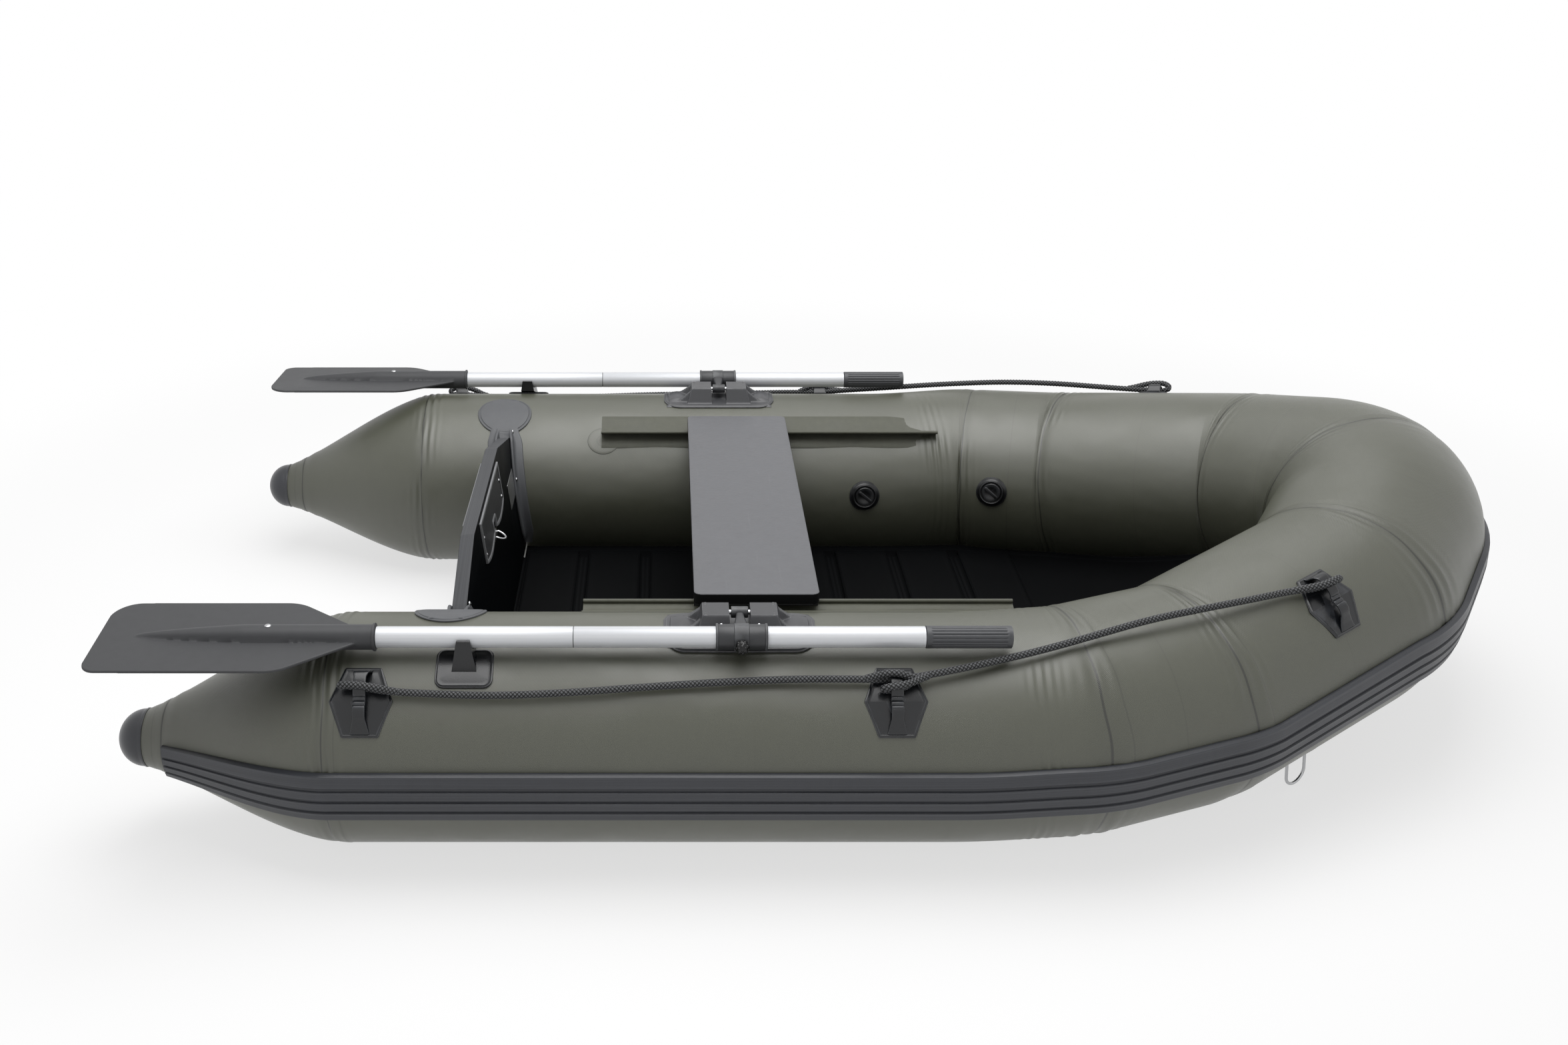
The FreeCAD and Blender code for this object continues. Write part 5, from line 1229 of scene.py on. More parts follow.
def thwart_paint():
    """Grey deck paint with soft stains and fine scratches; the mark turns the edges near-black."""
    shader = Shader("thwart_paint")
    spot = shader.place()
    stains = shader.noise(spot, 16.0, 5.0, 0.6)
    specks = shader.noise(spot, 160.0, 3.0)
    scratches = shader.noise(shader.stretch(spot, (220, 9, 220), (0, 0, 0.35)), 1.0, 2.0)
    grain = shader.grain((0.113, 0.115, 0.123), 420.0, 0.16, 0.5, 0.2)
    worn = shader.times(shader.span(stains, 0.56, 0.72, 0.0, 0.30), shader.span(specks, 0.4, 0.6))
    top = shader.mix(worn, grain["Colour"], (0.085, 0.087, 0.092, 1))
    scuffed = shader.mix(shader.span(scratches, 0.66, 0.74, 0.0, 0.05), top, (0.30, 0.305, 0.31, 1))
    colour = shader.mix(shader.mark("edge"), scuffed, (0.0065, 0.0067, 0.0073, 1))
    sheen = shader.span(shader.mark("edge"), 0.0, 1.0, 0.4, 0.08)
    return shader.use(Base_Color=colour, Roughness=grain["Roughness"], Specular_IOR_Level=sheen,
                      Normal=shader.bump(specks, 0.0006, 0.8))


thwart = rounded_plate("thwart_plywood", thwart_corners, 0.010, thwart_high.z - thwart_low.z, 0.0022,
                       ((0, 0, thwart_low.z), (1, 0, 0), (0, 1, 0), (0, 0, 1)), 5)
fit_out(sharpen(edge_mark(thwart, (0, 0, 1), 0.45), 30), "thwart", "thwart_wood", thwart_paint(),
        "thwart_board")

# Thwart rails: two extruded black plastic rails screwed under the board. Each has a round slot that
# slides along the bolt rope.
RAIL_PLASTIC = moulded("rail_plastic", (0.022, 0.023, 0.026), 0.40, 600.0, 0.00008)
slot = 0.0042
for side in SIDES:
    low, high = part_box("thwart_rail_" + side)
    middle, width, top = (low.y + high.y) / 2, (high.y - low.y) / 2, high.z
    bore = [(math.sin(turn) * slot, bolt_z - top - slot * math.cos(turn))
            for turn in np.linspace(np.pi + 2.55, np.pi - 2.55, 15)]
    left = [(-width, -0.0006), (-width, low.z - top + 0.0012), (-width + 0.0012, low.z - top)]
    right = [(-x, z) for x, z in reversed(left)]
    lips = [(-0.0022, low.z - top), (0.0022, low.z - top)]
    section = as_points(left + [lips[0]] + bore + [lips[1]] + right
                        + [(width - 0.0006, 0.0), (-width + 0.0006, 0.0)])
    ends = np.linspace(low.x + 0.0004, high.x - 0.0004, 8)
    grid = gathered(ends[:, None], middle + section[None, :, 0], top + section[None, :, 1])
    rail = surface("thwart_rail_extrusion_" + side, grid)
    fit_out(sharpen(rail, 30), "thwart", "black_plastic", RAIL_PLASTIC, "thwart_rail_" + side)

# Rope patches: three six-sided moulded rubber patches a side, glued to the tube, each with a thin
# bevelled rim and a strap of two humps moulded across it; the lifeline goes under the upper hump.
patch_half_width, patch_half_height, patch_edge = 0.047, 0.0525, 0.027
hexagon = [(patch_half_width, 0), (patch_edge, patch_half_height), (-patch_edge, patch_half_height),
           (-patch_half_width, 0), (-patch_edge, -patch_half_height), (patch_edge, -patch_half_height)]
strap_line = as_points([(-0.047, 0.0032), (-0.038, 0.0055), (-0.028, 0.0105), (-0.021, 0.0155),
                        (-0.014, 0.017), (-0.008, 0.0158), (-0.002, 0.0136), (0.004, 0.0154),
                        (0.009, 0.0194), (0.016, 0.0212), (0.026, 0.0216), (0.035, 0.0208),
                        (0.0405, 0.0165), (0.0425, 0.011), (0.044, 0.006), (0.048, 0.0034)])
strap_half, strap_foot_half, strap_thick = 0.00925, 0.015, 0.0036
along_bow = unit(tube_corners[4] - tube_corners[3])
patch_places = {"stern": (as_points((stern_x + 0.058, -half_beam, tube_radius)), (1, 0, 0), 43),
                "mid": (as_points((0.037, -half_beam, tube_radius)), (1, 0, 0), 43),
                "bow": (tube_corners[3] + along_bow * 0.201, along_bow, 50)}


def bonded_rows(skin, bevel, rim, sunk=0.0):
    """Insets and heights of a glued pad's edge: a feathered foot, a rim and a bevel up to its face."""
    return [(0.0, 0.0003), (0.0, skin * 0.55), (0.0006, skin * 0.7), (rim, skin * 0.72),
            (rim + bevel * 0.4, skin * 0.86), (rim + bevel, skin), (rim + bevel + 0.0015, skin - sunk)]


def bonded_pad(name, place, corners, radii, rows, centre=(0.0, 0.0), shares=12, steps=6):
    """A pad moulded to the tube: rings of its outline, drawn in to its face and then shrunk to
    the middle, so that it follows the tube's curve."""
    point, way, angle = place
    rings = [outline(corners, radii, inset, steps) for inset, _ in rows]
    rings += [as_points(centre) + (rings[-1] - centre) * share for share in np.linspace(1, 0.02, shares)[1:]]
    rings = as_points(rings)
    heights = as_points([height for _, height in rows] + [rows[-1][1]] * (shares - 1))[:, None]
    return surface(name, skin_point(point, way, math.radians(angle), rings[..., 0], rings[..., 1], heights))


def rubber_with_rim(name, colour, worn, roughness=0.42, specular=0.5):
    """Moulded rubber that is rubbed paler along its raised edges, with a fine leathery grain."""
    shader = Shader(name, Specular_IOR_Level=specular)
    spot = shader.place()
    grain = shader.grain(colour, 800.0, 0.25, roughness, 0.2)
    edge = shader.span(shader.add("ShaderNodeNewGeometry").outputs["Pointiness"], 0.505, 0.545)
    patchy = shader.span(shader.noise(spot, 45.0, 3.0), 0.3, 0.65)
    share = shader.times(shader.times(edge, patchy), 0.55)
    return shader.use(Base_Color=shader.mix(share, grain["Colour"], (*worn, 1)), Roughness=grain["Roughness"],
                      Normal=shader.bump(grain["Height"], 0.00012))


PATCH_RUBBER = rubber_with_rim("patch_rubber", (0.0065, 0.0074, 0.0092), (0.060, 0.064, 0.072), 0.25)


def strap_rows():
    """The strap's middle line, smoothed, with the direction across its thickness at each step."""
    run = run_of(strap_line)
    even = np.linspace(0, run[-1], 150)
    line = np.stack([np.interp(even, run, strap_line[:, axis]) for axis in range(2)], -1)
    for _ in range(14):
        line[1:-1] = (line[:-2] + 2 * line[1:-1] + line[2:]) / 4
    ribbed = held((line[:, 0] + 0.014) / 0.003) * held((0.008 - line[:, 0]) / 0.003)
    line[:, 1] += 0.0010 * ribbed * np.sin(2 * np.pi * line[:, 0] / 0.0062)
    way = unit(np.gradient(line, axis=0))
    return line, np.stack([-way[:, 1], way[:, 0]], -1)


def strap(name, place):
    """A flat strap carried along its humped line, wide at both feet; its long edges are rounded
    and a little thinner than its middle."""
    point, way, angle = place
    line, lift = strap_rows()
    waist = np.interp(line[:, 0], (-0.048, -0.026, 0.030, 0.048), (strap_foot_half, strap_half, strap_half,
                                                                 strap_foot_half))
    turn = full_turn(28)
    across = np.sign(np.cos(turn)) * np.abs(np.cos(turn)) ** 0.35
    through = np.sign(np.sin(turn)) * np.abs(np.sin(turn)) ** 0.55 * strap_thick / 2
    height = np.maximum(line[:, 1:] + lift[:, 1:] * through, 0.0006)
    return surface(name, skin_point(point, way, math.radians(angle), waist[:, None] * across,
                                    line[:, :1] + lift[:, :1] * through, height))


def to_side(made, side):
    """Leave a starboard piece as it is, or turn it into its port twin, faces outwards."""
    if side == "port":
        points = np.empty(len(made.data.vertices) * 3)
        made.data.vertices.foreach_get("co", points)
        made.data.vertices.foreach_set("co", (points.reshape(-1, 3) * MIRROR).ravel())
        made.data.flip_normals()
        made.data.update()
    return made


for where, place in patch_places.items():
    for side in SIDES:
        pad = bonded_pad("patch_pad", place, hexagon, 0.003, bonded_rows(0.0040, 0.0016, 0.0022, 0.0009))
        pad = join("rope_patch_%s_%s_rubber" % (where, side), pad, strap("patch_strap", place))
        fit_out(sharpen(to_side(pad, side), 40), "hull", "moulded_rubber", PATCH_RUBBER,
                "rope_patch_%s_%s" % (where, side))

# Rowlock bases: one grey rubber moulding on top of each tube. Two blocks with hollowed outer sides
# carry a bright steel pin between them, on which the oar's knuckle turns.
rowlock_x = -0.189
base_half, base_inboard, base_outboard, base_round = 0.116, 0.045, 0.0665, 0.034
hump_near, hump_far = 0.016, 0.057
hump_rise, hump_in, hump_out = 0.031, 0.018, 0.024
rib_toe, rib_half = 0.101, 0.0032
base_corners = rectangle((-base_half, -base_outboard), (base_half, base_inboard))
base_place = (as_points((rowlock_x, -half_beam, tube_radius)), (1, 0, 0), 90)
# On top of the tube the fitting's own y runs inboard, as the angle turns on from outboard to up.
ROWLOCK_RUBBER = rubber_with_rim("rowlock_rubber", (0.043, 0.044, 0.048), (0.12, 0.122, 0.128), 0.36)


def soft_top(first, second, blend):
    """The higher of two heights, with a rounded hollow of a given width where they meet."""
    gap = held(0.5 + (first - second) / (2 * blend))
    return second + (first - second) * gap + blend * gap * (1 - gap)


def soft_low(first, second, blend):
    """The lower of two heights, blended the same way."""
    return -soft_top(-first, -second, blend)


def hump_height(x, y):
    """One block's top surface over the tube's top line, for x outwards from the pin's middle: a
    flat-topped block, and behind it two curved ribs with a scooped hollow between them."""
    skin = np.sqrt(np.maximum((tube_radius + 0.0036) ** 2 - y ** 2, 0)) - tube_radius
    gap_wall = hump_rise + (x - hump_near) * 30
    far_wall = hump_rise - np.maximum(x - hump_far, 0) * (hump_rise + 0.004) / 0.011
    in_wall = hump_rise - np.maximum(y - hump_in, 0) * 2.1
    out_wall = hump_rise - np.maximum(-y - hump_out, 0) * 2.0
    block = soft_low(soft_low(hump_rise, far_wall, 0.0016), soft_low(in_wall, out_wall, 0.003), 0.0022)
    block = soft_low(block, gap_wall, 0.0012)
    share = held((x - hump_far + 0.004) / (rib_toe - hump_far + 0.004))
    drop = hump_rise * (1 - share) ** 1.7 - 0.001
    ribs = np.full(x.shape, -0.05)
    for edge, splay in ((hump_in - 0.0035, 0.16), (-hump_out + 0.0035, -0.22)):
        middle = edge + splay * np.maximum(x - hump_far, 0)
        wide = rib_half * (1 + 1.1 * share)
        wall = drop - np.maximum(np.abs(y - middle) - wide, 0) * 2.6
        wall = np.where(x < hump_far - 0.006, -0.05, wall)
        ribs = soft_top(ribs, wall, 0.0008)
    wing = skin + 0.0045 * np.exp(-((x - 0.088) / 0.017) ** 2) * held((0.035 - np.abs(y + 0.008)) / 0.01)
    return soft_top(soft_top(block, ribs, 0.0022), wing, 0.0026), skin


def hump_block(side):
    """A block and its wing as a field of heights, closed below inside the base plate."""
    x = np.unique(np.concatenate([np.linspace(hump_near - 0.0008, hump_near + 0.003, 8),
                                  np.linspace(hump_near + 0.003, 0.110, 92)]))
    y = np.linspace(-0.056, 0.041, 92)
    grid_x, grid_y = np.meshgrid(x, y, indexing="ij")
    height, skin = hump_height(grid_x, grid_y)
    under = skin - 0.003
    height = np.maximum(height, under + 0.0002)
    fade = held(np.minimum.reduce([0.110 - grid_x, grid_y + 0.056, 0.041 - grid_y]) / 0.006)
    height = np.where(height - skin < 0.0015, under + (height - under) * fade, height)
    top = np.stack([side * grid_x, grid_y, height], -1)
    below = np.stack([side * grid_x, grid_y, under], -1)
    ring = np.concatenate([top, below[:, ::-1]], 1)
    return surface("rowlock_block", as_points((rowlock_x, -half_beam, 2 * tube_radius)) + ring)


for side in SIDES:
    plate = bonded_pad("rowlock_plate", base_place, base_corners, base_round,
                       bonded_rows(0.0040, 0.0020, 0.0026, 0.0004), (0.0, -0.010), 26, 12)
    base = join("rowlock_base_rubber_" + side, plate, hump_block(-1), hump_block(1))
    fit_out(sharpen(to_side(base, side), 42), "hull", "moulded_rubber", ROWLOCK_RUBBER,
            "rowlock_base_" + side)
    pin_low, pin_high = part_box("rowlock_pin_" + side)
    pin_radius = (pin_high.z - pin_low.z) / 2
    pin_length = pin_high.x - pin_low.x
    pin_end = [(0.0006, 0.0008), (0.0006, pin_radius - 0.001), (0.0014, pin_radius)]
    pin = turned("rowlock_pin_bar_" + side,
                 pin_end + [(pin_length - run, reach) for run, reach in pin_end[::-1]],
                 (pin_low.x, (pin_low.y + pin_high.y) / 2, (pin_low.z + pin_high.z) / 2), (1, 0, 0), 32)
    fit_out(sharpen(pin, 35), "hull", "bright_steel", BRIGHT_STEEL, "rowlock_pin_" + side)
    screws = screw_heads("rowlock_screws_" + side, [(-0.0285, 0), (0.0285, 0)], 0.0032,
                         ((rowlock_x, -half_beam - 0.0313, 0.3765), (1, 0, 0), (0, 0.447, 0.894),
                          (0, -0.894, 0.447)))
    fit_out(sharpen(to_side(screws, side), 35), "hull", "bright_steel", BRIGHT_STEEL)

# Oar clips: a black moulded rubber pad glued to each tube, with an open cradle that the stowed
# shaft drops into.
clip_x, oar_y, oar_z = -0.600, -0.581, 0.378
clip_inside, clip_wall, clip_half = 0.0175, 0.0045, 0.010
clip_place = (as_points((clip_x, -half_beam, tube_radius)), (1, 0, 0), 60)
CLIP_RUBBER = rubber_with_rim("clip_rubber", (0.0045, 0.005, 0.0062), (0.035, 0.038, 0.044), 0.26)


def clip_body():
    """The cradle's section across the boat, carried along the shaft and narrowed towards its
    top: a faceted prong outboard, a curved seat, a lower arm inboard and a foot down to the pad."""
    seat = [(clip_inside * math.cos(turn), clip_inside * math.sin(turn))
            for turn in np.linspace(0, -np.pi, 19)]
    inner_arm = [(clip_inside + clip_wall, -0.006), (clip_inside + clip_wall, 0.0032),
                 (clip_inside + 0.0030, 0.0040), (clip_inside, 0.0030)]
    outer_arm = [(-clip_inside, 0.0030), (-clip_inside - 0.0012, 0.0040), (-clip_inside - 0.0040, 0.0034),
                 (-clip_inside - 0.0080, -0.020), (-clip_inside - 0.0105, -0.0465)]
    foot = [(-clip_inside + 0.001, -0.040), (0.0, -0.0285), (0.012, -0.0225), (clip_inside + 0.0045, -0.0185)]
    return as_points(outer_arm[::-1] + seat[::-1] + inner_arm[::-1] + foot[::-1])


clip_section = clip_body()
clip_reach = clip_half + held(0.004 - clip_section[:, 1]) * 0.18
clip_rows = clip_x + as_points((-1.0, -0.93, -0.4, 0.0, 0.4, 0.93, 1.0))[:, None] * clip_reach
clip_grid = gathered(clip_rows, oar_y + clip_section[:, 0], oar_z + clip_section[:, 1])
for side in SIDES:
    pad = bonded_pad("clip_pad", clip_place, rectangle((-0.043, -0.033), (0.043, 0.033)), 0.014,
                     bonded_rows(0.0040, 0.0016, 0.0022, 0.0006), (0, 0), 10, 8)
    clip = join("oar_clip_rubber_" + side, pad, surface("clip_cradle", clip_grid))
    fit_out(sharpen(to_side(clip, side), 35), "hull", "moulded_rubber", CLIP_RUBBER, "oar_clip_" + side)

# Valves: two black screw-in valves on the inner side of each tube. A ribbed cap with a bar across
# it sits in a deep ring, and the ring's flange clamps the cloth.
along_shoulder = unit(tube_corners[3] - tube_corners[2])
valve_places = [(as_points((0.109, -half_beam, tube_radius)), (1, 0, 0), 170),
                (tube_corners[2] + along_shoulder * 0.096, along_shoulder, 170)]
valve_profile = [(0.0004, 0.0005), (0.0004, 0.0295), (0.0012, 0.0308), (0.0030, 0.0308), (0.0040, 0.0296),
                 (0.0044, 0.0262), (0.0058, 0.0246), (0.0078, 0.0240), (0.0084, 0.0228), (0.0078, 0.0216),
                 (0.0052, 0.0210), (0.0050, 0.0196), (0.0088, 0.0190), (0.0100, 0.0178), (0.0102, 0.0120),
                 (0.0094, 0.0104), (0.0094, 0.0003)]
VALVE_PLASTIC = rubber_with_rim("valve_plastic", (0.005, 0.0053, 0.006), (0.04, 0.042, 0.046), 0.30)


def skin_frame(place):
    """A fitting's foot on the tube's skin, with the directions along the tube, round it and out."""
    point, way, angle = place
    outboard, upward = (direction[0] for direction in tube_axes(as_points(way)[None]))
    turn = math.radians(angle)
    normal = outboard * math.cos(turn) + upward * math.sin(turn)
    beside = upward * math.cos(turn) - outboard * math.sin(turn)
    return point + normal * tube_radius, as_points(way), beside, normal


def valve(place):
    """A valve turned about the tube's own normal, its flange bent to the tube, and a grip bar."""
    foot, way, beside, normal = skin_frame(place)
    spin = full_turn(72)
    profile = as_points(valve_profile)
    gripped = (profile[:, :1] > 0.0085) & (profile[:, 1:] > 0.0170)
    reach = profile[:, 1:] * np.where(gripped, 1 + 0.012 * np.cos(36 * spin), 1.0)
    x, y = reach * np.cos(spin), reach * np.sin(spin)
    bend = np.sqrt(tube_radius ** 2 - y ** 2) - tube_radius
    height = profile[:, :1] + bend * held(1.6 - profile[:, :1] / 0.004)
    body = surface("valve_body",
                   foot + x[..., None] * way + y[..., None] * beside + height[..., None] * normal)
    tilt = math.radians(40)
    along = way * math.cos(tilt) + beside * math.sin(tilt)
    bar = rounded_plate("valve_bar", rectangle((-0.0165, -0.0032), (0.0165, 0.0032)), 0.0030, 0.0058, 0.0012,
                        (foot + normal * 0.0090, along, np.cross(normal, along), normal))
    return [body, bar]


for side in SIDES:
    pair = join("valve_pair_" + side, *(part for place in valve_places for part in valve(place)))
    fit_out(sharpen(to_side(pair, side), 38), "hull", "moulded_rubber", VALVE_PLASTIC, "valves_" + side)

# Towing rings: one bright wire D ring low on each side of the bow, held by a loop of dark webbing
# that is sewn to a round patch of black cloth.
ring_place = (tube_corners[3] + along_bow * 0.170, along_bow, -60)
ring_patch_radius, ring_skin = 0.044, 0.0025
ring_wire, ring_half, ring_drop, ring_rise = 0.0026, 0.021, 0.034, 0.009
WEBBING = coated_cloth("ring_webbing", (0.014, 0.0145, 0.016), 0.55, 0.00025, 0.2)


def webbing_loop(place):
    """A band folded over the ring's bar: a teardrop section carried along the bar."""
    point, way, angle = place
    half, band_reach = ring_half - 2.2 * ring_wire, ring_wire + 0.0022
    turn = np.linspace(-0.22 * np.pi, 1.22 * np.pi, 22)
    outer = [(band_reach * math.cos(step), ring_rise + band_reach * math.sin(step)) for step in turn]
    foot = [(-0.0105, 0.0042), (-0.0180, 0.0034), (-0.0182, 0.0022), (0.0182, 0.0022), (0.0180, 0.0034),
            (0.0105, 0.0042)]
    section = as_points(outer + foot)
    across = np.linspace(-half, half, 16)
    wave = 1 + 0.02 * np.sin(across * 500)[:, None]
    grid = skin_point(point, way, math.radians(angle), across[:, None], section[:, 0] * wave, section[:, 1])
    return surface("webbing_loop", grid, uv=crossed(across, np.linspace(0, 0.09, len(section) + 1)),
                   marks={"seam": 0.5})


ring_profile = [(1.0, 0.0003), (1.0, 0.0016), (0.985, ring_skin - 0.0002)]
ring_profile += [(share, ring_skin) for share in (0.95, 0.9, 0.7, 0.5, 0.3, 0.02)]
spin = full_turn(56)
foot, way, _, normal = skin_frame(ring_place)
ring_grid = as_points([skin_point(ring_place[0], way, math.radians(ring_place[2]),
                                  ring_patch_radius * share * np.cos(spin),
                                  ring_patch_radius * share * np.sin(spin),
                                  height) for share, height in ring_profile])
rim = ring_patch_radius * (1 - as_points([share for share, _ in ring_profile]))[:, None]
shoulder = [(ring_half - 0.003, 0.0), (ring_half - 0.0008, 0.0009), (ring_half, 0.003), (ring_half, 0.012)]
flat_top = [(run, 0.0) for run in (-ring_half + 0.003, -ring_half / 2, 0.0, ring_half / 2)]
round_end = [(ring_half * math.cos(step), ring_drop + ring_half * math.sin(step))
             for step in np.linspace(0, np.pi, 25)]
ring_shape = as_points(flat_top + shoulder + round_end + [(-run, drop) for run, drop in shoulder[::-1]])
down = unit(-UP + way * (UP @ way))
ring_line = foot + normal * ring_rise + ring_shape[:, :1] * way + ring_shape[:, 1:] * down
for side in SIDES:
    pad = surface("ring_pad", ring_grid, uv=plan_uv(ring_grid), marks={"seam": rim - 0.004})
    carrier = join("ring_patch_cloth_" + side, pad, webbing_loop(ring_place))
    ring = wire("tow_ring_wire_" + side, ring_line, ring_wire, 16)
    fit_out(sharpen(to_side(carrier, side), 50), "hull", "bottom_fabric", WEBBING, "ring_patch_" + side)
    fit_out(sharpen(to_side(ring, side), 50), "hull", "bright_steel", BRIGHT_STEEL, "tow_ring_" + side)

# Oar shafts: bright anodised aluminium tube, 32 mm across, in two lengths joined by a hidden
# ferrule; the joint shows as a thin dark line in a shallow groove.
oar_radius = 0.016
shaft_joint = -0.438
grip_start, grip_length, grip_radius = 0.084, 0.128, 0.0172
blade_tip, blade_full, socket_start, shaft_start = -1.143, -0.861, -0.765, -0.731


def shaft_material():
    """Satin anodised tube: fine drawn lines and faint lengthwise bands, with a dark line at the joint."""
    shader = Shader("oar_tube_aluminium", Metallic=0.22)
    spot = shader.place()
    drawn = shader.noise(shader.stretch(spot, (0.8, 1400, 1400)), 1.0, 2.0)
    bands = shader.noise(shader.stretch(spot, (0.5, 260, 260)), 1.0, 2.0)
    colour = shader.mix(shader.span(bands, 0.3, 0.7), (0.59, 0.605, 0.635, 1), (0.68, 0.69, 0.71, 1))
    colour = shader.mix(shader.mark("joint"), colour, (0.20, 0.205, 0.215, 1))
    gloss = shader.plus(shader.times(bands, 0.10), 0.34)
    return shader.use(Base_Color=colour, Roughness=gloss, Normal=shader.bump(drawn, 0.000002))


shaft_runs = [0.0004, 0.0012, 0.10, shaft_joint - shaft_start - 0.0012, shaft_joint - shaft_start - 0.0006,
              shaft_joint - shaft_start + 0.0006, shaft_joint - shaft_start + 0.0012,
              grip_start - shaft_start - 0.0012, grip_start - shaft_start - 0.0004]
shaft_reach = oar_radius - as_points([0.0008, 0, 0, 0, 0.0005, 0.0005, 0, 0, 0.0008])
shaft_profile = [(0.0004, 0.003)] + list(zip(shaft_runs, shaft_reach)) + [(shaft_runs[-1], 0.003)]
joint_mark = as_points([0.0] * 5 + [1.0] * 2 + [0.0] * 4)[:, None]
OAR_TUBE = shaft_material()
oar_line = {side: as_points((0.0, sign * -oar_y, oar_z)) for side, sign in SIDES.items()}
for side in SIDES:
    shaft = turned("oar_tube_" + side, shaft_profile, oar_line[side] + (shaft_start, 0, 0), (1, 0, 0), 64,
                   marks={"joint": joint_mark})
    fit_out(sharpen(shaft, 40), "oar_" + side, "oar_tube", OAR_TUBE, "oar_shaft_" + side)

# Oar blades: black polypropylene, moulded in one piece with the socket that takes the shaft. A spine
# grows from a point near the tip into the socket, and one rivet holds the shaft.
blade_half, blade_thick, socket_radius = 0.095, 0.0050, 0.019
blade_corner, blade_far_corner, shoulder_bend = 0.022, 0.042, 0.060
spine_tip, spine_growth = 0.056, 0.160
blade_tilt = math.radians(3.63)


def blade_plan():
    """The blade's outline edges at each run from the tip: outboard and inboard half-widths."""
    root = socket_start + 0.010
    corners = [(root, -socket_radius * 0.9), (root, socket_radius * 0.9), (blade_full, blade_half),
               (blade_tip, blade_half), (blade_tip, -blade_half), (blade_full, -blade_half)]
    bends = (0.001, 0.001, shoulder_bend, blade_far_corner, blade_corner, shoulder_bend)
    return outline(corners, bends, 0.0, 24)


plan = blade_plan()
tip_rows = blade_tip + 0.0003 + 0.046 * (1 - np.cos(np.linspace(0, np.pi / 2, 34)))
blade_runs = np.unique(np.concatenate([tip_rows, np.linspace(blade_tip + 0.046, shaft_start - 0.0045, 120),
                                       shaft_start - as_points((0.0046, 0.0040, 0.0036, 0.0008, 0.0003))]))
upper_edge, lower_edge = (edge[np.argsort(edge[:, 0], kind="stable")] for edge in (plan[plan[:, 1] > 0],
                                                                                   plan[plan[:, 1] < 0]))
edge_in = np.interp(blade_runs, upper_edge[:, 0], upper_edge[:, 1])
edge_out = -np.interp(blade_runs, lower_edge[:, 0], lower_edge[:, 1])
growth = held((blade_runs - blade_tip - spine_tip) / spine_growth)
spine = np.where(growth > 0, 0.0022 + (socket_radius - 0.0022) * growth ** 0.55, 0.0)
flange = held((blade_runs - (shaft_start - 0.0042)) / 0.0004)
flange = flange * np.clip((shaft_start - 0.0002 - blade_runs) / 0.0006, 0.4, 1)
spine = spine + 0.0022 * flange
past_root = held((blade_runs - (socket_start + 0.002)) / 0.010)
edge_in, edge_out = (edge + (spine - edge) * past_root for edge in (np.maximum(edge_in, spine),
                                                                    np.maximum(edge_out, spine)))
steps_across = np.cos(np.linspace(0, np.pi, 140))
across = np.where(steps_across > 0, steps_across * edge_in[:, None], steps_across * edge_out[:, None])


def blade_face(across):
    """Half the blade's thickness at each place: a sheet with a rounded edge, swelling smoothly into
    the round spine."""
    edge = np.where(across > 0, edge_in[:, None], edge_out[:, None])
    rim = held((edge - np.abs(across)) / (blade_thick / 2))
    sheet = blade_thick / 2 * np.sqrt(np.maximum(1 - (1 - rim) ** 2, 0))
    round_part = np.sqrt(np.maximum(spine[:, None] ** 2 - across ** 2, 0))
    gap = held(0.5 + (round_part - sheet) / 0.006)
    blend = sheet + (round_part - sheet) * gap + 0.003 * gap * (1 - gap) * (spine[:, None] > 0.0024)
    solid = past_root[:, None]
    return np.maximum(blend * (1 - solid) + round_part * solid, 0)


top = blade_face(across)
ring_y = np.concatenate([across, across[:, -2:0:-1]], 1)
ring_z = np.concatenate([top, -top[:, -2:0:-1]], 1)
blade_grid = np.stack([np.broadcast_to(blade_runs[:, None], ring_y.shape),
                       ring_y * math.cos(blade_tilt) - ring_z * math.sin(blade_tilt),
                       ring_y * math.sin(blade_tilt) + ring_z * math.cos(blade_tilt)], -1)
BLADE_PLASTIC = moulded("blade_polypropylene", (0.040, 0.041, 0.044), 0.52, 900.0, 0.00010, 0.22, 0.2,
                        Specular_IOR_Level=0.4)
rivet_run = -0.890
for side, sign in SIDES.items():
    blade = surface("oar_blade_moulding_" + side, blade_grid * (1, -sign, 1) + oar_line[side])
    fit_out(sharpen(blade, 50), "oar_" + side, "black_plastic", BLADE_PLASTIC, "oar_blade_" + side)
    rivet = turned("blade_rivet_" + side,
                   [(-0.002, 0.0005), (-0.002, 0.0048), (0.0004, 0.0048), (0.0014, 0.0036),
                    (0.0018, 0.0018), (0.0018, 0.0003)],
                   oar_line[side] + (rivet_run, 0, socket_radius), (0, 0, 1), 20)
    fit_out(sharpen(rivet, 35), "oar_" + side, "bright_steel", BRIGHT_STEEL)

# Oar grips: a ribbed black rubber sleeve, pushed over each shaft's fore end and closed at its
# tip.
GRIP_RUBBER = rubber_with_rim("grip_rubber", (0.046, 0.048, 0.053), (0.12, 0.124, 0.132))
grip_ribs = 18


def grip_ridge(angle, run):
    """Lengthwise ribs that stop short of both plain ends."""
    fade = held(np.minimum(run - 0.007, grip_length - 0.007 - run) / 0.003)
    flute = np.abs(np.sin(grip_ribs / 2 * angle)) ** 0.5
    return 1 - fade * 0.075 * (1 - flute)


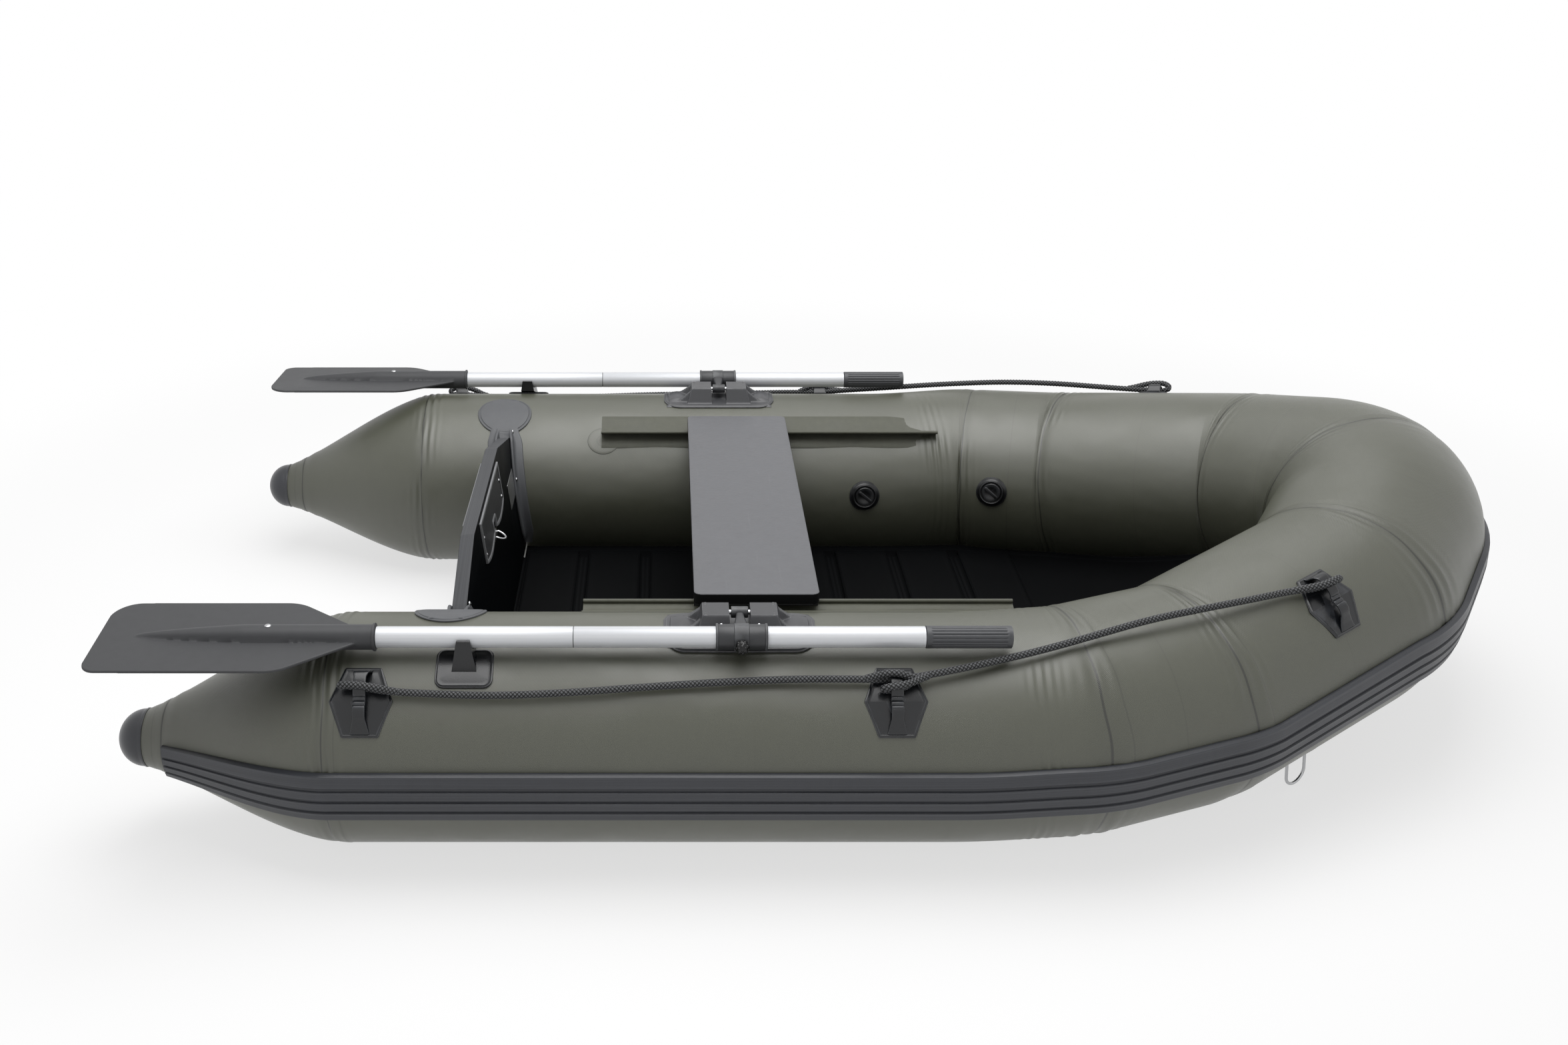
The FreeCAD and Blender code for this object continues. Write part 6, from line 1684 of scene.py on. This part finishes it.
grip_runs = np.concatenate([[0.0008], np.linspace(0.001, 0.012, 12),
                            np.linspace(0.016, grip_length - 0.016, 12),
                            np.linspace(grip_length - 0.012, grip_length - 0.001, 12)])
grip_profile = [(0.0003, oar_radius + 0.0002)] + [(run, grip_radius - 0.0002) for run in grip_runs]
grip_profile += [(grip_length - 0.0002, grip_radius - 0.0016), (grip_length, grip_radius - 0.004),
                 (grip_length, 0.0005)]
for side in SIDES:
    grip = turned("oar_grip_rubber_" + side, grip_profile, oar_line[side] + (grip_start, 0, 0), (1, 0, 0),
                  216, ridge=grip_ridge)
    fit_out(sharpen(grip, 38), "oar_" + side, "black_plastic", GRIP_RUBBER, "oar_grip_" + side)

# Oar collars: a two-part black nylon clamp round each shaft with a raised middle band and lipped
# ends, closed by two bright screws; its knuckle reaches in to the rowlock pin.
collar_half, collar_radius = 0.0385, 0.0193
collar_steps = ((0.0, 0.0006), (0.0006, 0.0012), (0.0034, 0.0012), (0.0040, 0.0002), (0.0044, 0.0),
                (0.0270, 0.0), (0.0274, 0.0004), (0.0278, 0.0012), (0.0385, 0.0012))
collar_profile = [(-collar_half, oar_radius + 0.0001)] + [(-collar_half + run, collar_radius + rise)
                                                          for run, rise in collar_steps]
collar_profile += [(-run, reach) for run, reach in collar_profile[-2::-1]]
COLLAR_NYLON = rubber_with_rim("collar_nylon", (0.024, 0.0252, 0.028), (0.11, 0.114, 0.12))


def collar_ridge(angle, run):
    """A thin seam along each side of the clamp, where its halves meet."""
    seam = np.exp(-((np.abs(angle - np.pi) - 0.92) / 0.012) ** 2)
    return 1 - 0.03 * seam * (np.abs(run) < collar_half - 0.005)


pin_y, pin_z = -0.510, 0.3825
collar_centre = as_points((rowlock_x, oar_y, oar_z))
neck_line = as_points((0, pin_y - oar_y, pin_z - oar_z))
neck_way = neck_line / np.linalg.norm(neck_line)
neck_steps = as_points([0.0196, 0.0215, 0.024, 0.034, 0.046, 0.055, 0.060])[:, None, None]
neck_reach = 0.93 * as_points([0.0128, 0.0122, 0.0118, 0.0102, 0.0082, 0.0070, 0.0066])[:, None, None]
spin, squareness = full_turn(48), 3.2
facet = 1 / (np.abs(np.cos(spin)) ** squareness + np.abs(np.sin(spin)) ** squareness) ** (1 / squareness)
neck_across = facet[:, None] * wheel(as_points((1, 0, 0)), np.cross(neck_way, (1, 0, 0)), spin)
neck_grid = collar_centre + neck_steps * neck_way + neck_reach * neck_across
eye_profile = [(-0.0130, 0.0041), (-0.0130, 0.0082), (-0.0122, 0.0090), (0.0122, 0.0090), (0.0130, 0.0082),
               (0.0130, 0.0041)]
for side in SIDES:
    collar = turned("oar_collar_clamp_" + side, collar_profile, collar_centre, (1, 0, 0), 120,
                    ridge=collar_ridge)
    screws = screw_heads("collar_screws_" + side, [(-0.0195, 0.0135), (0.0195, 0.0135)], 0.0036,
                         (collar_centre, (1, 0, 0), (0, 0.93, 0.36), (0, 0.36 * 0.4, 0.93)))
    fit_out(sharpen(to_side(collar, side), 38), "oar_" + side, "black_plastic", COLLAR_NYLON,
            "oar_collar_" + side)
    fit_out(sharpen(to_side(screws, side), 35), "oar_" + side, "bright_steel", BRIGHT_STEEL)
    neck = surface("knuckle_neck", neck_grid)
    eye = turned("knuckle_eye", eye_profile, (rowlock_x, pin_y, pin_z), (1, 0, 0), 48, capped=True)
    knuckle = join("oar_knuckle_moulding_" + side, neck, eye)
    fit_out(sharpen(to_side(knuckle, side), 38), "oar_" + side, "black_plastic", COLLAR_NYLON,
            "oar_knuckle_" + side)

# Collar knobs: a glossy black plastic ball, studded for grip, on the screw that tightens each
# collar.
knob_low, knob_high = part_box("oar_knob_starboard")
knob_radius = 0.0108
knob_centre = as_points((rowlock_x, knob_low.y + 0.011, (knob_low.z + knob_high.z) / 2))
KNOB_PLASTIC = moulded("knob_plastic", (0.0022, 0.0023, 0.0026), 0.13, 900.0, 0.00002, 0.2, 0.1,
                       Specular_IOR_Level=0.35)


def knob(centre):
    """A ball with rings of small domed studs; both poles are closed by single points."""
    lift = np.linspace(0.02, np.pi - 0.02, 70)[:, None]
    spin = full_turn(96)[None]
    away = gathered(np.sin(lift) * np.cos(spin), -np.cos(lift), np.sin(lift) * np.sin(spin))
    studs = [as_points((0, -1, 0))]
    for ring, count in ((0.62, 6), (1.15, 10), (1.70, 11), (2.2, 8)):
        turn = np.arange(count) * 2 * np.pi / count + ring
        studs += list(np.stack([np.sin(ring) * np.cos(turn), np.full(count, -np.cos(ring)),
                                np.sin(ring) * np.sin(turn)], -1))
    nearest = np.max(np.tensordot(away, as_points(studs).T, 1), -1)
    bump = held((nearest - math.cos(0.17)) / (1 - math.cos(0.17))) ** 0.5
    return surface("collar_knob", centre + away * (knob_radius * (0.93 + 0.11 * bump))[..., None])


for side in SIDES:
    stem = turned("knob_stem", [(0.0, 0.001), (0.0, 0.0048), (0.0090, 0.0048), (0.0090, 0.001)],
                  (rowlock_x, oar_y - collar_radius - 0.0014, knob_centre[2]), (0, -1, 0), 24)
    whole = join("oar_knob_ball_" + side, knob(knob_centre), stem)
    fit_out(sharpen(to_side(whole, side), 50), "oar_" + side, "black_plastic", KNOB_PLASTIC,
            "oar_knob_" + side)

# The studio: a white floor that keeps the boat's soft shadow, one broad lamp overhead and four
# soft boxes round it, at a level where a colour renders about as it is written.
floor_half, lit_reach, lit_white, world_white = 60.0, (1.5, 2.6), 0.66, 0.42


def plain_rays(made):
    """One for the rays that see the studio itself: the camera's, mirrored ones and those through."""
    rays = made.add("ShaderNodeLightPath").outputs
    seen = made.math("MAXIMUM", rays["Is Camera Ray"], rays["Is Glossy Ray"])
    return made.math("MAXIMUM", seen, rays["Is Transmission Ray"])


def cleared(tree):
    """A node tree with nothing in it yet."""
    tree.nodes.clear()
    return Nodes(tree)


floor_material = bpy.data.materials.new("studio_floor")
floor_material.use_nodes = True
floor = cleared(floor_material.node_tree)
reach = floor.add("ShaderNodeVectorMath", {0: floor.place()}, operation="LENGTH").outputs["Value"]
plain = floor.add("ShaderNodeMapRange",
                  {"Value": floor.span(reach, *lit_reach), "To Min": lit_white}).outputs[0]
lit = floor.add("ShaderNodeBsdfDiffuse", {"Color": (0.95, 0.95, 0.95, 1)}).outputs[0]
white = floor.add("ShaderNodeEmission", {"Color": (1, 1, 1, 1)}).outputs[0]
mixed = floor.add("ShaderNodeMixShader", {0: floor.times(plain, plain_rays(floor)), 1: lit, 2: white})
floor.add("ShaderNodeOutputMaterial", {"Surface": mixed.outputs[0]})
floor_grid = floor_half * as_points([[(-1, -1, 0), (-1, 1, 0)], [(1, -1, 0), (1, 1, 0)]])
studio_floor = surface("studio_floor", floor_grid, closed=False, capped=False)
studio_floor.data.materials.append(floor_material)

world = bpy.data.worlds.new("studio")
bpy.context.scene.world = world
world.use_nodes = True
sky = cleared(world.node_tree)
level = sky.add("ShaderNodeMapRange", {"Value": plain_rays(sky), "To Min": world_white}).outputs[0]
backdrop = sky.add("ShaderNodeBackground", {"Color": (1, 1, 1, 1), "Strength": level}).outputs[0]
sky.add("ShaderNodeOutputWorld", {"Surface": backdrop})


def soft_lamp(name, place, aim, width, height, power):
    """A rectangular soft box that faces a point."""
    data = bpy.data.lights.new(name, "AREA")
    data.shape = "RECTANGLE"
    data.size, data.size_y = width, height
    data.energy = power
    lamp = bpy.data.objects.new(name, data)
    lamp.location = place
    way = as_points(aim) - as_points(place)
    lamp.rotation_euler = (math.acos(-way[2] / np.linalg.norm(way)), 0,
                           math.atan2(way[1], way[0]) + math.pi * 0.5)
    bpy.context.scene.collection.objects.link(lamp)


soft_lamp("overhead_lamp", (-0.20, 0.05, 2.9), (-0.1, 0.0, 0.2), 3.2, 2.5, 86)
soft_lamp("near_fill", (0.3, -3.8, 2.6), (0.1, 0.0, 0.2), 3.6, 2.2, 52)
soft_lamp("stern_box", (-2.7, -2.5, 2.0), (-0.6, -0.3, 0.25), 1.5, 1.2, 34)
soft_lamp("bow_box", (3.0, -2.3, 1.9), (0.8, -0.2, 0.3), 1.6, 1.4, 30)
soft_lamp("low_fill", (0.8, -3.4, 0.65), (0.2, 0.0, 0.25), 4.2, 1.0, 20)

bpy.context.scene.view_settings.view_transform = "Standard"
